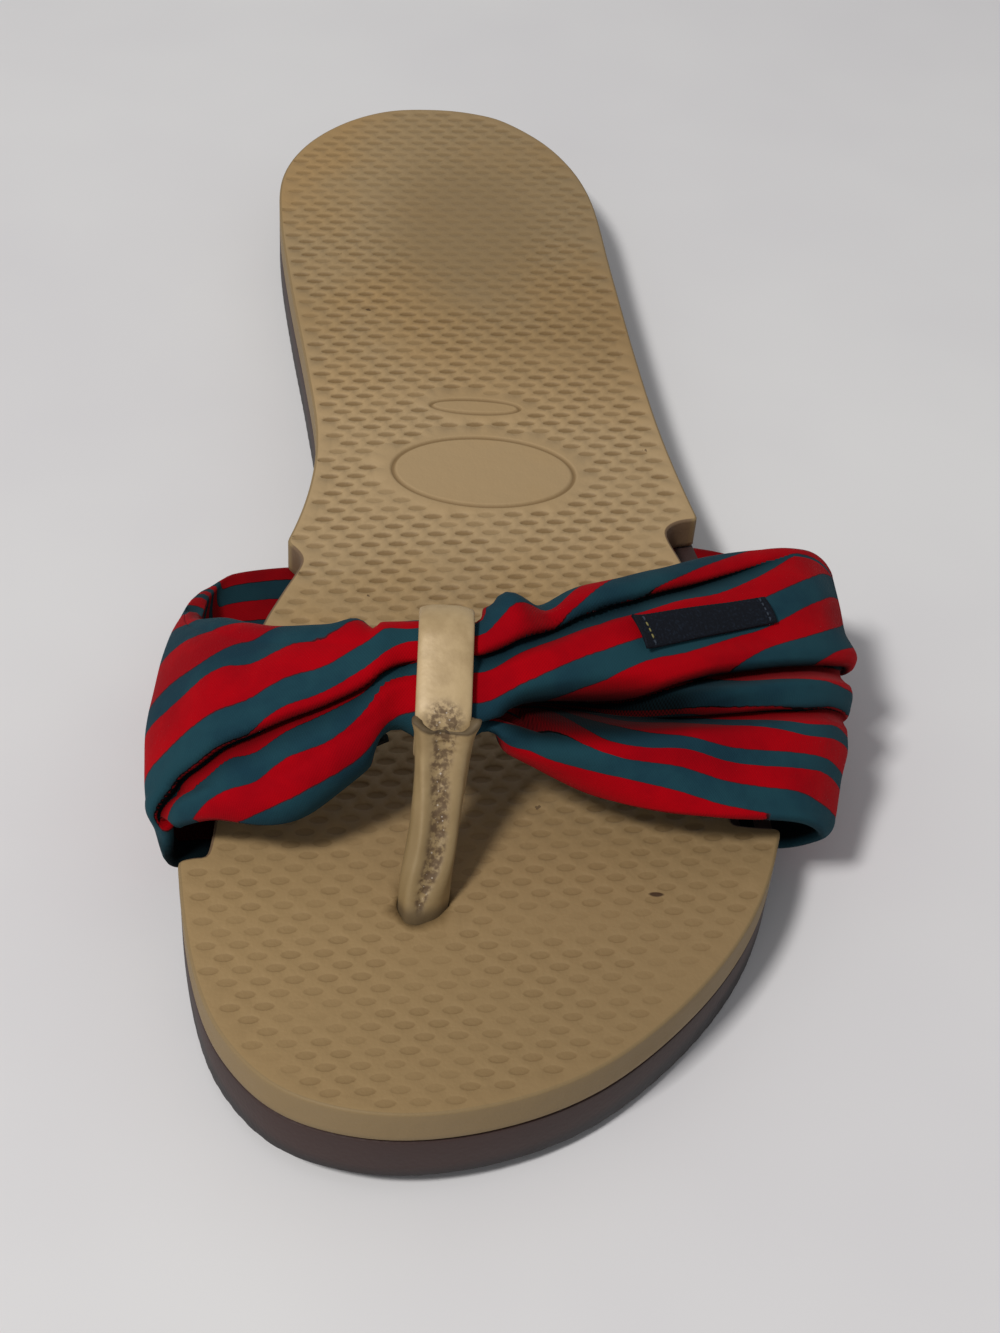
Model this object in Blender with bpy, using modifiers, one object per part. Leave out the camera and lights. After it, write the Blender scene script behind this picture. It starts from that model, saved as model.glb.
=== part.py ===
"""A left-foot toe-post sandal, empty and flat on its sole, in metres.

It is put together from four pieces: the outsole, the footbed that lies on it, a wide band of
striped cloth whose two tails are caught between them, and a leather toe post that holds the
band's gathered middle in its loop. The toe points to -Y, the heel to +Y, the outer side of the
foot to +X, and the sole stands on Z = 0.
"""

import bmesh
import bpy
import numpy as np
from math import cos, pi, sin
from mathutils import Vector

MM = 0.001

# Driving sizes, in millimetres until a mesh is made.
GAP = 0.3  # left between pieces that touch
OUTSOLE_TOP = 8.5  # dark rubber, from the floor
FOOTBED_TOP = 15.0  # pale rubber, from the floor
RIM_ROUND = 1.0  # rounded rim of each layer
TOE_LIFT = 3.0  # how far the tip of the toe curves up
TOE_LIFT_START = -94.0  # Y where the toe begins to curve up
TOE_TIP = -130.0
OUTLINE_STEPS = 5  # points of the outline for each point of its table
BEND_STEP = 5.0  # spacing of the cross cuts that let the toe bend

CLOTH = 1.8  # doubled stretch cloth
POCKET_DEPTH = CLOTH + GAP + 0.4  # recess in the outsole that takes the band's tail
POCKET_SIDE = 1.0  # room left at each side of the tail
BAND_ROWS = 4  # mesh rows from one station of the band to the next
BAND_COLUMNS = 30  # mesh columns across the band
ROLL_RADIUS = 4.6  # how tightly the band's two edges curl under

LOOP_WIDTH = 8.0
LEATHER = 1.5
LOOP_GAP = 0.5  # between the loop and the cloth that it gathers
LOOP_CENTRE_X = 5.6
LOOP_STEPS = 10  # facets of each round end of the loop
SLOT = (7.6, 7.0)  # across and along the foot, for the toe post
SLOT_CENTRE = (4.0, -92.4)
CORNER_FULLNESS = 0.7  # of the post's section and its slot: 1 is an oval, 0 a rectangle

# The sole's outline, from the back of the heel down the inner side and back up the outer side.
SOLE_OUTLINE = [
    # x, y
    (0.0, 128.0),
    (-9.5, 126.2),
    (-18.5, 120.2),
    (-25.8, 110.5),
    (-29.6, 98.0),
    (-28.9, 82.0),
    (-25.3, 59.0),
    (-20.9, 35.0),
    (-17.8, 15.0),
    (-18.0, 0.0),
    (-21.0, -15.0),
    (-26.6, -30.0),
    (-31.0, -48.0),
    (-32.8, -68.0),
    (-31.7, -86.0),
    (-28.0, -104.5),
    (-22.6, -117.2),
    (-13.5, -126.5),
    (0.0, -130.0),
    (15.0, -127.4),
    (29.5, -119.7),
    (43.0, -106.0),
    (52.5, -91.0),
    (57.4, -75.0),
    (58.6, -58.0),
    (57.4, -40.0),
    (53.8, -20.0),
    (49.6, -4.0),
    (44.6, 18.0),
    (40.8, 42.0),
    (37.2, 70.0),
    (33.6, 97.0),
    (26.8, 113.5),
    (17.0, 124.0),
    (9.0, 127.4),
]

# Each side of the footbed is bitten away so that the band can come out from under it.
# The points run from the tip of the horn behind the bite to the corner in front of it.
INNER_BITE = [
    # x, y
    (-21.0, -14.9),
    (-18.8, -17.4),
    (-18.2, -20.2),
    (-21.2, -28.4),
    (-24.0, -38.0),
    (-26.4, -58.0),
    (-27.4, -82.6),
    (-29.0, -84.6),
    (-31.9, -85.6),
]
OUTER_BITE = [
    # x, y
    (49.7, -4.1),
    (46.2, -4.9),
    (43.9, -7.2),
    (44.4, -10.6),
    (46.8, -18.0),
    (50.0, -36.0),
    (51.0, -56.0),
    (49.9, -72.6),
    (51.6, -74.3),
    (57.6, -74.6),
]
BITE_REACH = 16.0  # how far each bite's cutter reaches outside the sole
POCKET_REACH = 45.0  # how far each pocket's cutter reaches, well past the sole's edge
CUT_PAST = 5.0  # how far a cutter runs past the face that it opens

# The band, station by station, from the tail on the inner side over the foot to the other one.
# back and front are the places where the middle of the band passes into its two rolled edges,
# z is from the footbed's top, crown is how far the middle bulges out, and the last two
# columns are how much cloth is rolled under at each edge.
BAND = [
    # station, back x y z, front x y z, crown, back roll, front roll
    ("inner tail", -10.0, -14.3, -8.3, -19.0, -79.5, -8.3, 0.0, 0.0, 0.0),
    ("inner slot", -20.0, -14.3, -8.3, -28.5, -79.5, -8.3, 0.0, 0.0, 0.0),
    ("inner ledge", -31.5, -18.0, -7.6, -33.8, -79.5, -7.6, 0.0, 0.0, 0.5),
    ("inner side", -34.6, -28.5, -1.6, -36.2, -77.5, -1.0, 1.4, 0.0, 4.5),
    ("inner shoulder", -33.6, -45.0, 7.9, -36.6, -78.0, 5.6, 3.0, 1.0, 6.0),
    ("inner rise", -28.5, -56.0, 17.5, -28.5, -82.0, 12.6, 3.0, 5.0, 5.5),
    ("inner fan", -19.0, -64.0, 23.5, -18.0, -84.0, 16.4, 3.0, 11.0, 8.0),
    ("inner neck", -6.0, -68.0, 28.0, -6.0, -78.8, 22.4, 1.5, 16.0, 14.0),
    ("inner loop", 0.6, -67.0, 28.2, 0.8, -75.0, 23.9, 0.0, 17.0, 17.0),
    ("outer loop", 10.6, -67.0, 28.2, 10.8, -75.0, 23.9, 0.0, 17.0, 17.0),
    ("outer neck", 17.0, -63.5, 29.5, 18.0, -75.5, 21.5, 1.5, 15.0, 14.0),
    ("outer fan", 31.0, -54.5, 26.5, 31.5, -77.2, 16.5, 3.0, 10.0, 8.0),
    ("outer rise", 47.0, -42.5, 22.5, 46.0, -78.4, 12.5, 3.0, 5.0, 4.0),
    ("outer shoulder", 63.4, -31.8, 16.8, 60.0, -77.0, 6.8, 3.0, 1.0, 1.0),
    ("outer side", 68.8, -26.5, 6.2, 66.2, -71.4, -1.2, 1.8, 0.0, 3.6),
    ("outer ledge", 57.5, -7.0, -7.4, 61.0, -70.2, -7.6, 0.0, 0.0, 1.6),
    ("outer slot", 45.5, -4.0, -8.3, 53.0, -71.0, -8.3, 0.0, 0.0, 0.0),
    ("outer tail", 35.5, -4.0, -8.3, 43.0, -71.0, -8.3, 0.0, 0.0, 0.0),
]

# The toe post, from the bottom of its slot up to the loop.
POST = [
    # x, y, z from the footbed's top, width, depth
    (3.9, -92.8, -5.9, 6.2, 4.4),
    (3.9, -92.7, -3.0, 6.2, 4.4),
    (4.0, -92.2, 0.4, 6.6, 4.5),
    (4.6, -88.2, 5.6, 7.0, 4.9),
    (5.5, -83.4, 11.6, 7.0, 4.8),
    (6.2, -79.5, 16.8, 7.4, 4.4),
    (6.5, -76.4, 21.0, 7.6, 4.0),
]
POST_SIDES = 16

RUBBER_PALE = (0.32, 0.20, 0.095)
RUBBER_DARK = (0.075, 0.040, 0.036)
CLOTH_RED = (0.32, 0.008, 0.010)
LEATHER_TAN = (0.42, 0.28, 0.15)


def clear_scene():
    for thing in list(bpy.data.objects):
        bpy.data.objects.remove(thing, do_unlink=True)


def collection(name):
    made = bpy.data.collections.new(name)
    bpy.context.scene.collection.children.link(made)
    return made


def material(name, colour, roughness):
    made = bpy.data.materials.new(name)
    made.use_nodes = True
    shader = made.node_tree.nodes["Principled BSDF"]
    shader.inputs["Base Color"].default_value = (*colour, 1.0)
    shader.inputs["Roughness"].default_value = roughness
    shader.inputs["Metallic"].default_value = 0.0
    return made


def object_from(bm, name, home, finish=None):
    """A named object in the collection home, from a bmesh in millimetres."""
    bmesh.ops.scale(bm, vec=Vector((MM, MM, MM)), verts=bm.verts)
    bmesh.ops.recalc_face_normals(bm, faces=bm.faces)
    mesh = bpy.data.meshes.new(name)
    bm.to_mesh(mesh)
    bm.free()
    made = bpy.data.objects.new(name, mesh)
    home.objects.link(made)
    if finish:
        mesh.materials.append(finish)
    return made


def as_cutter(made):
    made.hide_render = True
    made.display_type = "WIRE"
    return made


def boolean(target, other, operation):
    step = target.modifiers.new(f"{operation.lower()} {other.name}", "BOOLEAN")
    step.operation = operation
    step.solver = "EXACT"
    step.object = other


def smooth(rows, at, closed=False):
    """The rows of a table read at fractional places, on a Catmull-Rom curve through them."""
    rows = np.asarray(rows, float)
    last = len(rows) - 1
    at = np.asarray(at, float)
    low = np.floor(at).astype(int) if closed else np.clip(np.floor(at).astype(int), 0, last - 1)
    t = (at - low)[..., None]

    def row(i):
        return rows[i % len(rows)] if closed else rows[np.clip(i, 0, last)]

    a, b, c, d = row(low - 1), row(low), row(low + 1), row(low + 2)
    return 0.5 * (2 * b + (c - a) * t + (2 * a - 5 * b + 4 * c - d) * t**2
                  + (3 * b - a - 3 * c + d) * t**3)


def toe_lift(y):
    """How far the sole has curved up at a given place along its length."""
    along = max(0.0, (TOE_LIFT_START - y) / (TOE_LIFT_START - TOE_TIP))
    return TOE_LIFT * along**2


def prism(outline, bottom, top):
    """A bmesh with this outline between two heights, as closed caps and a wall."""
    bm = bmesh.new()
    base = bm.faces.new([bm.verts.new((x, y, bottom)) for x, y in outline])
    raised = bmesh.ops.extrude_face_region(bm, geom=[base])
    moved = [part for part in raised["geom"] if isinstance(part, bmesh.types.BMVert)]
    bmesh.ops.translate(bm, vec=(0.0, 0.0, top - bottom), verts=moved)
    return bm


def round_rims(bm, heights):
    """Rounds the rims that lie at these heights."""
    rims = [
        edge
        for edge in bm.edges
        if any(all(abs(v.co.z - z) < 1e-6 for v in edge.verts) for z in heights)
    ]
    bmesh.ops.bevel(bm, geom=rims, offset=RIM_ROUND, segments=2, profile=0.5, affect="EDGES")


def bend_toe(bm):
    """Cuts the sole across under the toes and curves it up there."""
    y = TOE_LIFT_START
    while y > TOE_TIP:
        everything = bm.verts[:] + bm.edges[:] + bm.faces[:]
        bmesh.ops.bisect_plane(bm, geom=everything, plane_co=(0, y, 0), plane_no=(0, 1, 0))
        y -= BEND_STEP
    for vert in bm.verts:
        vert.co.z += toe_lift(vert.co.y)


def sole_outline():
    places = np.arange(len(SOLE_OUTLINE) * OUTLINE_STEPS) / OUTLINE_STEPS
    return smooth(SOLE_OUTLINE, places, closed=True)


def bite_outline(points, side):
    """The edge of one bite, closed by a line well outside the sole."""
    inside = smooth(points, np.linspace(0, len(points) - 1, 4 * len(points)))
    far = side * BITE_REACH
    front, back = inside[-1], inside[0]
    outside = [(front[0] + far, front[1]), (back[0] + 2 * far, back[1])]
    return np.vstack([inside, outside])


def make_outsole(parts, cutters, finish):
    bm = prism(sole_outline(), 0.0, OUTSOLE_TOP)
    round_rims(bm, [0.0])
    bend_toe(bm)
    outsole = object_from(bm, "outsole", parts, finish)
    for side, station in (("inner", 0), ("outer", len(BAND) - 1)):
        pocket = pocket_cutter(station, f"{side}_pocket", cutters)
        boolean(outsole, pocket, "DIFFERENCE")
    return outsole


def pocket_cutter(station, name, cutters):
    """A shallow recess under one tail of the band, open at the sole's edge."""
    _, back_x, back_y, _, front_x, front_y, _, _, _, _ = BAND[station]
    side = 1 if station else -1
    back, front = back_y + POCKET_SIDE, front_y - POCKET_SIDE
    reach = side * POCKET_REACH
    inset = side * GAP
    outline = [
        (back_x - inset, back),
        (front_x - inset, front),
        (front_x + reach, front),
        (back_x + reach, back),
    ]
    bm = prism(outline, OUTSOLE_TOP - POCKET_DEPTH, OUTSOLE_TOP + CUT_PAST)
    return as_cutter(object_from(bm, name, cutters))


def make_footbed(parts, cutters, finish):
    bm = prism(sole_outline(), OUTSOLE_TOP + GAP, FOOTBED_TOP)
    round_rims(bm, [FOOTBED_TOP])
    bend_toe(bm)
    footbed = object_from(bm, "footbed", parts, finish)
    for name, points, side in (("inner_bite", INNER_BITE, -1), ("outer_bite", OUTER_BITE, 1)):
        bm = prism(bite_outline(points, side), OUTSOLE_TOP - CUT_PAST, FOOTBED_TOP + CUT_PAST)
        boolean(footbed, as_cutter(object_from(bm, name, cutters)), "DIFFERENCE")
    bm = prism(slot_outline(), OUTSOLE_TOP - CUT_PAST, FOOTBED_TOP + CUT_PAST)
    boolean(footbed, as_cutter(object_from(bm, "toe_slot", cutters)), "DIFFERENCE")
    return footbed


def full_oval(steps):
    """Points round an oval two units across, with fuller corners than an ellipse."""
    turns = 2 * pi * np.arange(steps) / steps
    round_points = np.stack([np.cos(turns), np.sin(turns)], axis=1)
    return np.sign(round_points) * np.abs(round_points) ** CORNER_FULLNESS


def slot_outline():
    """The hole that the toe post goes down."""
    return np.array(SLOT_CENTRE) + full_oval(POST_SIDES) * np.array(SLOT) / 2


def unit(v):
    return v / np.linalg.norm(v, axis=-1, keepdims=True)


def band_point(station, across):
    """Points on the band's outer face: station along it, across from 0 (back) to 1 (front)."""
    table = np.array([row[1:] for row in BAND], float)
    station, across = np.broadcast_arrays(np.asarray(station, float), np.asarray(across, float))
    row = smooth(table, station)

    def middle(at):
        there = smooth(table, np.clip(at, 0, len(table) - 1))
        return (there[..., 0:3] + there[..., 3:6]) / 2

    back, front = row[..., 0:3], row[..., 3:6]
    crown, back_roll, front_roll = row[..., 6], row[..., 7], row[..., 8]
    along = unit(middle(station + 0.02) - middle(station - 0.02))
    width = np.linalg.norm(front - back, axis=-1)
    over = unit(front - back)
    out = unit(np.cross(over, along))
    back_roll, front_roll = np.maximum(back_roll, 0), np.maximum(front_roll, 0)
    travelled = across * (back_roll + width + front_roll)
    t = np.clip((travelled - back_roll) / width, 0, 1)
    point = back + (front - back) * t[..., None] + out * (4 * crown * t * (1 - t))[..., None]
    for length, way in (
        (np.maximum(back_roll - travelled, 0), -1),
        (np.maximum(travelled - back_roll - width, 0), 1),
    ):
        turn = np.minimum(length / ROLL_RADIUS, pi)
        straight = np.maximum(length - pi * ROLL_RADIUS, 0)
        sideways = np.sin(turn) * ROLL_RADIUS - straight
        down = (1 - np.cos(turn)) * ROLL_RADIUS
        point = point + way * over * sideways[..., None] - out * down[..., None]
    return point


def make_strap(parts, finish):
    rows = (len(BAND) - 1) * BAND_ROWS + 1
    stations = np.linspace(0, len(BAND) - 1, rows)
    across = np.linspace(0, 1, BAND_COLUMNS + 1)
    points = band_point(stations[:, None], across[None, :])
    points[..., 2] += FOOTBED_TOP
    bm = bmesh.new()
    grid = [[bm.verts.new(point) for point in row] for row in points]
    for low, high in zip(grid, grid[1:]):
        for a, b, c, d in zip(low, low[1:], high[1:], high):
            bm.faces.new((a, b, c, d))
    strap = object_from(bm, "strap", parts, finish)
    wall = strap.modifiers.new("wall", "SOLIDIFY")
    wall.thickness = CLOTH * MM
    wall.offset = -1.0
    strap.data.shade_smooth()
    return strap


def stadium(centres, radius):
    """The outline, in Y and Z, round two centres."""
    (y0, z0), (y1, z1) = centres
    lean = np.arctan2(z0 - z1, y0 - y1)
    ends = []
    for (y, z), start in (((y0, z0), lean - pi / 2), ((y1, z1), lean + pi / 2)):
        turns = [start + pi * i / LOOP_STEPS for i in range(LOOP_STEPS + 1)]
        ends += [(y + radius * cos(a), z + radius * sin(a)) for a in turns]
    return ends


def loop_centres():
    """The centres of the gathered band's two round edges, in Y and Z, halfway along the loop."""
    middle = np.mean([BAND[8][1:7], BAND[9][1:7]], axis=0)
    back, front = middle[1:3], middle[4:6]
    over = unit(front - back)
    inward = np.array([over[1], -over[0]])
    inward = inward if inward[1] < 0 else -inward
    return [point + inward * ROLL_RADIUS + (0, FOOTBED_TOP) for point in (back, front)]


def tube(outline, x0, x1, name, home, finish=None):
    """A prism along X."""
    bm = bmesh.new()
    base = bm.faces.new([bm.verts.new((x0, y, z)) for y, z in outline])
    raised = bmesh.ops.extrude_face_region(bm, geom=[base])
    moved = [part for part in raised["geom"] if isinstance(part, bmesh.types.BMVert)]
    bmesh.ops.translate(bm, vec=(x1 - x0, 0.0, 0.0), verts=moved)
    return object_from(bm, name, home, finish)


def make_toe_post(parts, cutters, finish):
    """Leather: a loop round the gathered band, and the post that runs down into the footbed."""
    centres = loop_centres()
    x0, x1 = LOOP_CENTRE_X - LOOP_WIDTH / 2, LOOP_CENTRE_X + LOOP_WIDTH / 2
    outer = stadium(centres, ROLL_RADIUS + LOOP_GAP + LEATHER)
    toe_post = tube(outer, x0, x1, "toe_post", parts, finish)
    shaft = post_shaft(cutters)
    boolean(toe_post, shaft, "UNION")
    hole = tube(stadium(centres, ROLL_RADIUS + LOOP_GAP), x0 - CUT_PAST, x1 + CUT_PAST, "loop_hole", cutters)
    boolean(toe_post, as_cutter(hole), "DIFFERENCE")
    return toe_post


def post_shaft(cutters):
    """A rounded shaft through the sections of the POST table."""
    rows = smooth(POST, np.linspace(0, len(POST) - 1, 4 * (len(POST) - 1) + 1))
    path = rows[:, :3] + (0, 0, FOOTBED_TOP)
    tangents = unit(np.gradient(path, axis=0))
    bm = bmesh.new()
    rings = []
    for centre, tangent, (width, depth) in zip(path, tangents, rows[:, 3:]):
        side = unit(np.cross(tangent, (0.0, 1.0, 0.0)) if abs(tangent[1]) < 0.3
                    else np.cross(tangent, (0.0, 0.0, 1.0)))
        side = side if side[0] > 0 else -side
        face = np.cross(side, tangent)
        spots = [centre + side * width / 2 * a + face * depth / 2 * b
                 for a, b in full_oval(POST_SIDES)]
        rings.append([bm.verts.new(spot) for spot in spots])
    for low, high in zip(rings, rings[1:]):
        for i in range(POST_SIDES):
            j = (i + 1) % POST_SIDES
            bm.faces.new((low[i], low[j], high[j], high[i]))
    bm.faces.new(rings[0])
    bm.faces.new(rings[-1])
    return as_cutter(object_from(bm, "post_shaft", cutters))


def centre_on_floor(parts):
    """Moves every piece so that the middle of the whole box is over the origin."""
    bpy.context.view_layer.update()
    graph = bpy.context.evaluated_depsgraph_get()
    corners = []
    for piece in parts.objects:
        shape = piece.evaluated_get(graph)
        corners += [shape.matrix_world @ Vector(corner) for corner in shape.bound_box]
    low = [min(corner[axis] for corner in corners) for axis in (0, 1)]
    high = [max(corner[axis] for corner in corners) for axis in (0, 1)]
    shift = Vector((-(low[0] + high[0]) / 2, -(low[1] + high[1]) / 2, 0.0))
    for thing in bpy.data.objects:
        thing.location += shift
    print("moved by", [round(value / MM, 3) for value in shift], "mm")


def main():
    clear_scene()
    parts = collection("toe_post_sandal")
    cutters = collection("cutters")
    make_outsole(parts, cutters, material("outsole_rubber", RUBBER_DARK, 0.7))
    make_footbed(parts, cutters, material("footbed_rubber", RUBBER_PALE, 0.65))
    make_strap(parts, material("striped_cloth", CLOTH_RED, 0.9))
    make_toe_post(parts, cutters, material("tan_leather", LEATHER_TAN, 0.45))
    centre_on_floor(parts)


main()
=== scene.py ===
# %% [markdown]
# # A toe-post sandal for the left foot
#
# The sandal is four pieces put together: a dark rubber outsole, a pale rubber footbed lying
# on it, a wide band of striped stretch cloth whose ends are caught between the two, and a
# leather toe post that gathers the band in its loop. This notebook gives each piece its
# finished surface. Everything is worked out in millimetres in the shoe's own frame, toe
# towards -Y, heel towards +Y, the outer side of the foot towards +X, and is moved onto the
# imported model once, when a mesh is made.

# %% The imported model
from math import cos, pi, radians, sin

import bmesh
import bpy
import numpy as np
from mathutils import Matrix, Vector, noise
from mathutils.geometry import delaunay_2d_cdt


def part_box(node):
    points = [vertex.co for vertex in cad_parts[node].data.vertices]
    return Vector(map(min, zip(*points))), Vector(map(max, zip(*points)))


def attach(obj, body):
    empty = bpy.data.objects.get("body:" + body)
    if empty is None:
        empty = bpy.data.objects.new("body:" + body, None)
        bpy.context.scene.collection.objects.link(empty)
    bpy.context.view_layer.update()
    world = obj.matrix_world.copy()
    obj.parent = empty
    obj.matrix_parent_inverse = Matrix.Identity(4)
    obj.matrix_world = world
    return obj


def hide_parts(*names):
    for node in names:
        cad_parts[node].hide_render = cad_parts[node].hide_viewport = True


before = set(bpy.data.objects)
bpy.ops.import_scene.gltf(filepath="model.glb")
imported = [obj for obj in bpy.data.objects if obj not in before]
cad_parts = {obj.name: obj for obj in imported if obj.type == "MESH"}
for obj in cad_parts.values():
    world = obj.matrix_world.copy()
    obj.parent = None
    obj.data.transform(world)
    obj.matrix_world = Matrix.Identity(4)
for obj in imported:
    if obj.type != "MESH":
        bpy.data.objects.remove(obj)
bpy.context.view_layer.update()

MM = 0.001
print("pieces in the frame:", sorted(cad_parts))

# %% [markdown]
# ## Reading a short table as a smooth curve
#
# A last maker draws a sole with a few points and a flexible spline. Here the spline is a
# Catmull-Rom curve: it passes through every row of a table, so the tables stay short and
# each number in them can be measured on the shoe.

# %% Curve helpers
def smooth(rows, at, closed=False):
    """The rows of a table read at fractional places, on a curve through them."""
    rows = np.asarray(rows, float)
    last = len(rows) - 1
    at = np.asarray(at, float)
    low = np.floor(at).astype(int) if closed else np.clip(np.floor(at).astype(int), 0, last - 1)
    t = (at - low)[..., None]

    def row(i):
        return rows[i % len(rows)] if closed else rows[np.clip(i, 0, last)]

    a, b, c, d = row(low - 1), row(low), row(low + 1), row(low + 2)
    return 0.5 * (2 * b + (c - a) * t + (2 * a - 5 * b + 4 * c - d) * t**2
                  + (3 * b - a - 3 * c + d) * t**3)


def by_station(rows, station):
    """A table whose first column is a station, read smoothly at any station."""
    rows = np.asarray(rows, float)
    places = np.interp(station, rows[:, 0], np.arange(len(rows)))
    return smooth(rows[:, 1:], places)


def unit(v):
    return v / np.maximum(np.linalg.norm(v, axis=-1, keepdims=True), 1e-12)


def step_up(x, low, high):
    """0 below low, 1 above high, and an S-curve between."""
    t = np.clip((np.asarray(x, float) - low) / (high - low), 0, 1)
    return t * t * (3 - 2 * t)


# %% The sole's outline, from the back of the heel down the inner side and up the outer side
SOLE_OUTLINE = [
    # x, y
    (0.0, 128.0), (-9.5, 126.2), (-18.5, 120.2), (-25.8, 110.5), (-29.6, 98.0),
    (-28.9, 82.0), (-25.3, 59.0), (-20.9, 35.0), (-17.8, 15.0), (-18.0, 0.0),
    (-21.0, -15.0), (-26.6, -30.0), (-31.0, -48.0), (-32.8, -68.0), (-31.7, -86.0),
    (-28.0, -104.5), (-22.6, -117.2), (-13.5, -126.5), (0.0, -130.0), (15.0, -127.4),
    (29.5, -119.7), (43.0, -106.0), (52.5, -91.0), (57.4, -75.0), (58.6, -58.0),
    (57.4, -40.0), (53.8, -20.0), (49.6, -4.0), (44.6, 18.0), (40.8, 42.0),
    (37.2, 70.0), (33.6, 97.0), (26.8, 113.5), (17.0, 124.0), (9.0, 127.4),
]
OUTLINE_STEPS = 5
OUTSOLE_TOP = 8.5
FOOTBED_BOTTOM = 8.8
FOOTBED_TOP = 15.0
TOE_LIFT, TOE_LIFT_START, TOE_TIP = 3.0, -94.0, -130.0


def outline(first, last, steps=OUTLINE_STEPS):
    """Part of the sole's outline, between two rows of its table."""
    return smooth(SOLE_OUTLINE, np.arange(first * steps, last * steps + 1) / steps, closed=True)


def toe_lift(y):
    return TOE_LIFT * np.maximum(0, (TOE_LIFT_START - y) / (TOE_LIFT_START - TOE_TIP)) ** 2


drawn = outline(0, len(SOLE_OUTLINE))[:-1]
low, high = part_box("outsole")
SHIFT = np.array([low.x / MM - drawn[:, 0].min(), high.y / MM - drawn[:, 1].max(), 0.0])
print("the drawn frame lies", SHIFT.round(2), "mm from the model's")


# %% [markdown]
# ## The camera
#
# The camera comes first. It looks down on the toe at about 45 degrees from in front, as
# someone bending over their shoes would, and is tilted a few degrees to one side. The lens
# is a short telephoto that just frames the one shoe.

# %% Camera
CAMERA_AT = (-0.2, -291.8, 259.4)
LOOKS_AT = (15.1, -42.6, 15.0)
CAMERA_TILT = radians(-5.0)
LENS = 58.9


def in_model(points):
    """Drawn millimetres to the model's metres."""
    return (np.asarray(points, float) + SHIFT) * MM


def make_camera():
    eye, goal = Vector(in_model(CAMERA_AT)), Vector(in_model(LOOKS_AT))
    ahead = (goal - eye).normalized()
    level = ahead.cross(Vector((0, 0, 1))).normalized()
    above = level.cross(ahead)
    up = above * cos(CAMERA_TILT) + level * sin(CAMERA_TILT)
    right = ahead.cross(up)
    camera = bpy.data.objects.new("camera", bpy.data.cameras.new("camera"))
    bpy.context.scene.collection.objects.link(camera)
    turn = Matrix((right, up, -ahead)).transposed()
    camera.matrix_world = Matrix.Translation(eye) @ turn.to_4x4()
    camera.data.lens = LENS
    camera.data.clip_start = 0.01
    bpy.context.scene.camera = camera
    print("camera", round((goal - eye).length, 3), "m from the shoe")


make_camera()


# %% [markdown]
# ## Making a mesh
#
# Most pieces are grids or rings of points that a function works out, so one helper turns
# points and faces into an object, shades it smooth and hides the imported node that it
# stands for. Some surfaces carry extra numbers with them, such as how far across the cloth a
# point is; these are kept as mesh attributes, where a material can read them.

# %% Mesh helpers
def make_piece(name, points, faces, replaces=None):
    """An object from drawn millimetres, riding on the one body."""
    mesh = bpy.data.meshes.new(name)
    mesh.from_pydata(in_model(points).tolist(), [], faces)
    mesh.update()
    mesh.shade_smooth()
    piece = bpy.data.objects.new(name, mesh)
    bpy.context.scene.collection.objects.link(piece)
    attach(piece, "root")
    if replaces:
        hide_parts(replaces)
    print(name, len(mesh.vertices), "points,", sum(len(f) - 2 for f in faces), "triangles")
    return piece


def note(piece, name, values):
    """Keeps one number for each point of a piece, for its material to read."""
    made = piece.data.attributes.new(name, "FLOAT", "POINT")
    made.data.foreach_set("value", np.asarray(values, np.float32))


def ring_faces(count, rings, first=0):
    """Quads between rings of count points, one ring after another."""
    return [
        (a + i, a + (i + 1) % count, a + count + (i + 1) % count, a + count + i)
        for a in range(first, first + count * (rings - 1), count)
        for i in range(count)
    ]


def tube_faces(count, rings, first=0):
    """The same quads, and a face at each end."""
    last = first + count * (rings - 1)
    ends = [tuple(range(first, first + count))[::-1], tuple(range(last, last + count))]
    return ring_faces(count, rings, first) + ends


def mound(distance):
    """1 in the middle of a soft round mound, and nearly 0 from twice its reach."""
    return np.exp(-distance**2)


def resample(loop, spacing):
    """A closed outline again, with even spacing."""
    ends = np.vstack([loop, loop[:1]])
    travelled = np.concatenate([[0], np.cumsum(np.linalg.norm(np.diff(ends, axis=0), axis=1))])
    count = int(travelled[-1] / spacing)
    at = np.arange(count) * travelled[-1] / count
    return np.stack([np.interp(at, travelled, ends[:, k]) for k in (0, 1)], axis=1)


def soften(loop, times):
    """Rounds the corners of an evenly spaced outline."""
    for _ in range(times):
        loop = (np.roll(loop, 1, axis=0) + 2 * loop + np.roll(loop, -1, axis=0)) / 4
    return loop


def inset(loop, distance):
    """An outline moved inwards. Its points run anticlockwise."""
    along = unit(np.roll(loop, -1, axis=0) - np.roll(loop, 1, axis=0))
    return loop + np.stack([-along[:, 1], along[:, 0]], axis=1) * distance


def raised(loop, z):
    """A flat outline at a height that follows the curved-up toe."""
    return np.column_stack([loop, z + toe_lift(loop[:, 1])])


def inside(points, loop):
    """Which points lie inside a closed outline."""
    x, y = points[:, 0:1], points[:, 1:2]
    a, b = loop, np.roll(loop, -1, axis=0)
    crosses = (a[:, 1] > y) != (b[:, 1] > y)
    at = a[:, 0] + (y - a[:, 1]) * (b[:, 0] - a[:, 0]) / (b[:, 1] - a[:, 1] + 1e-12)
    return (crosses & (x < at)).sum(axis=1) % 2 == 1


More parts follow.
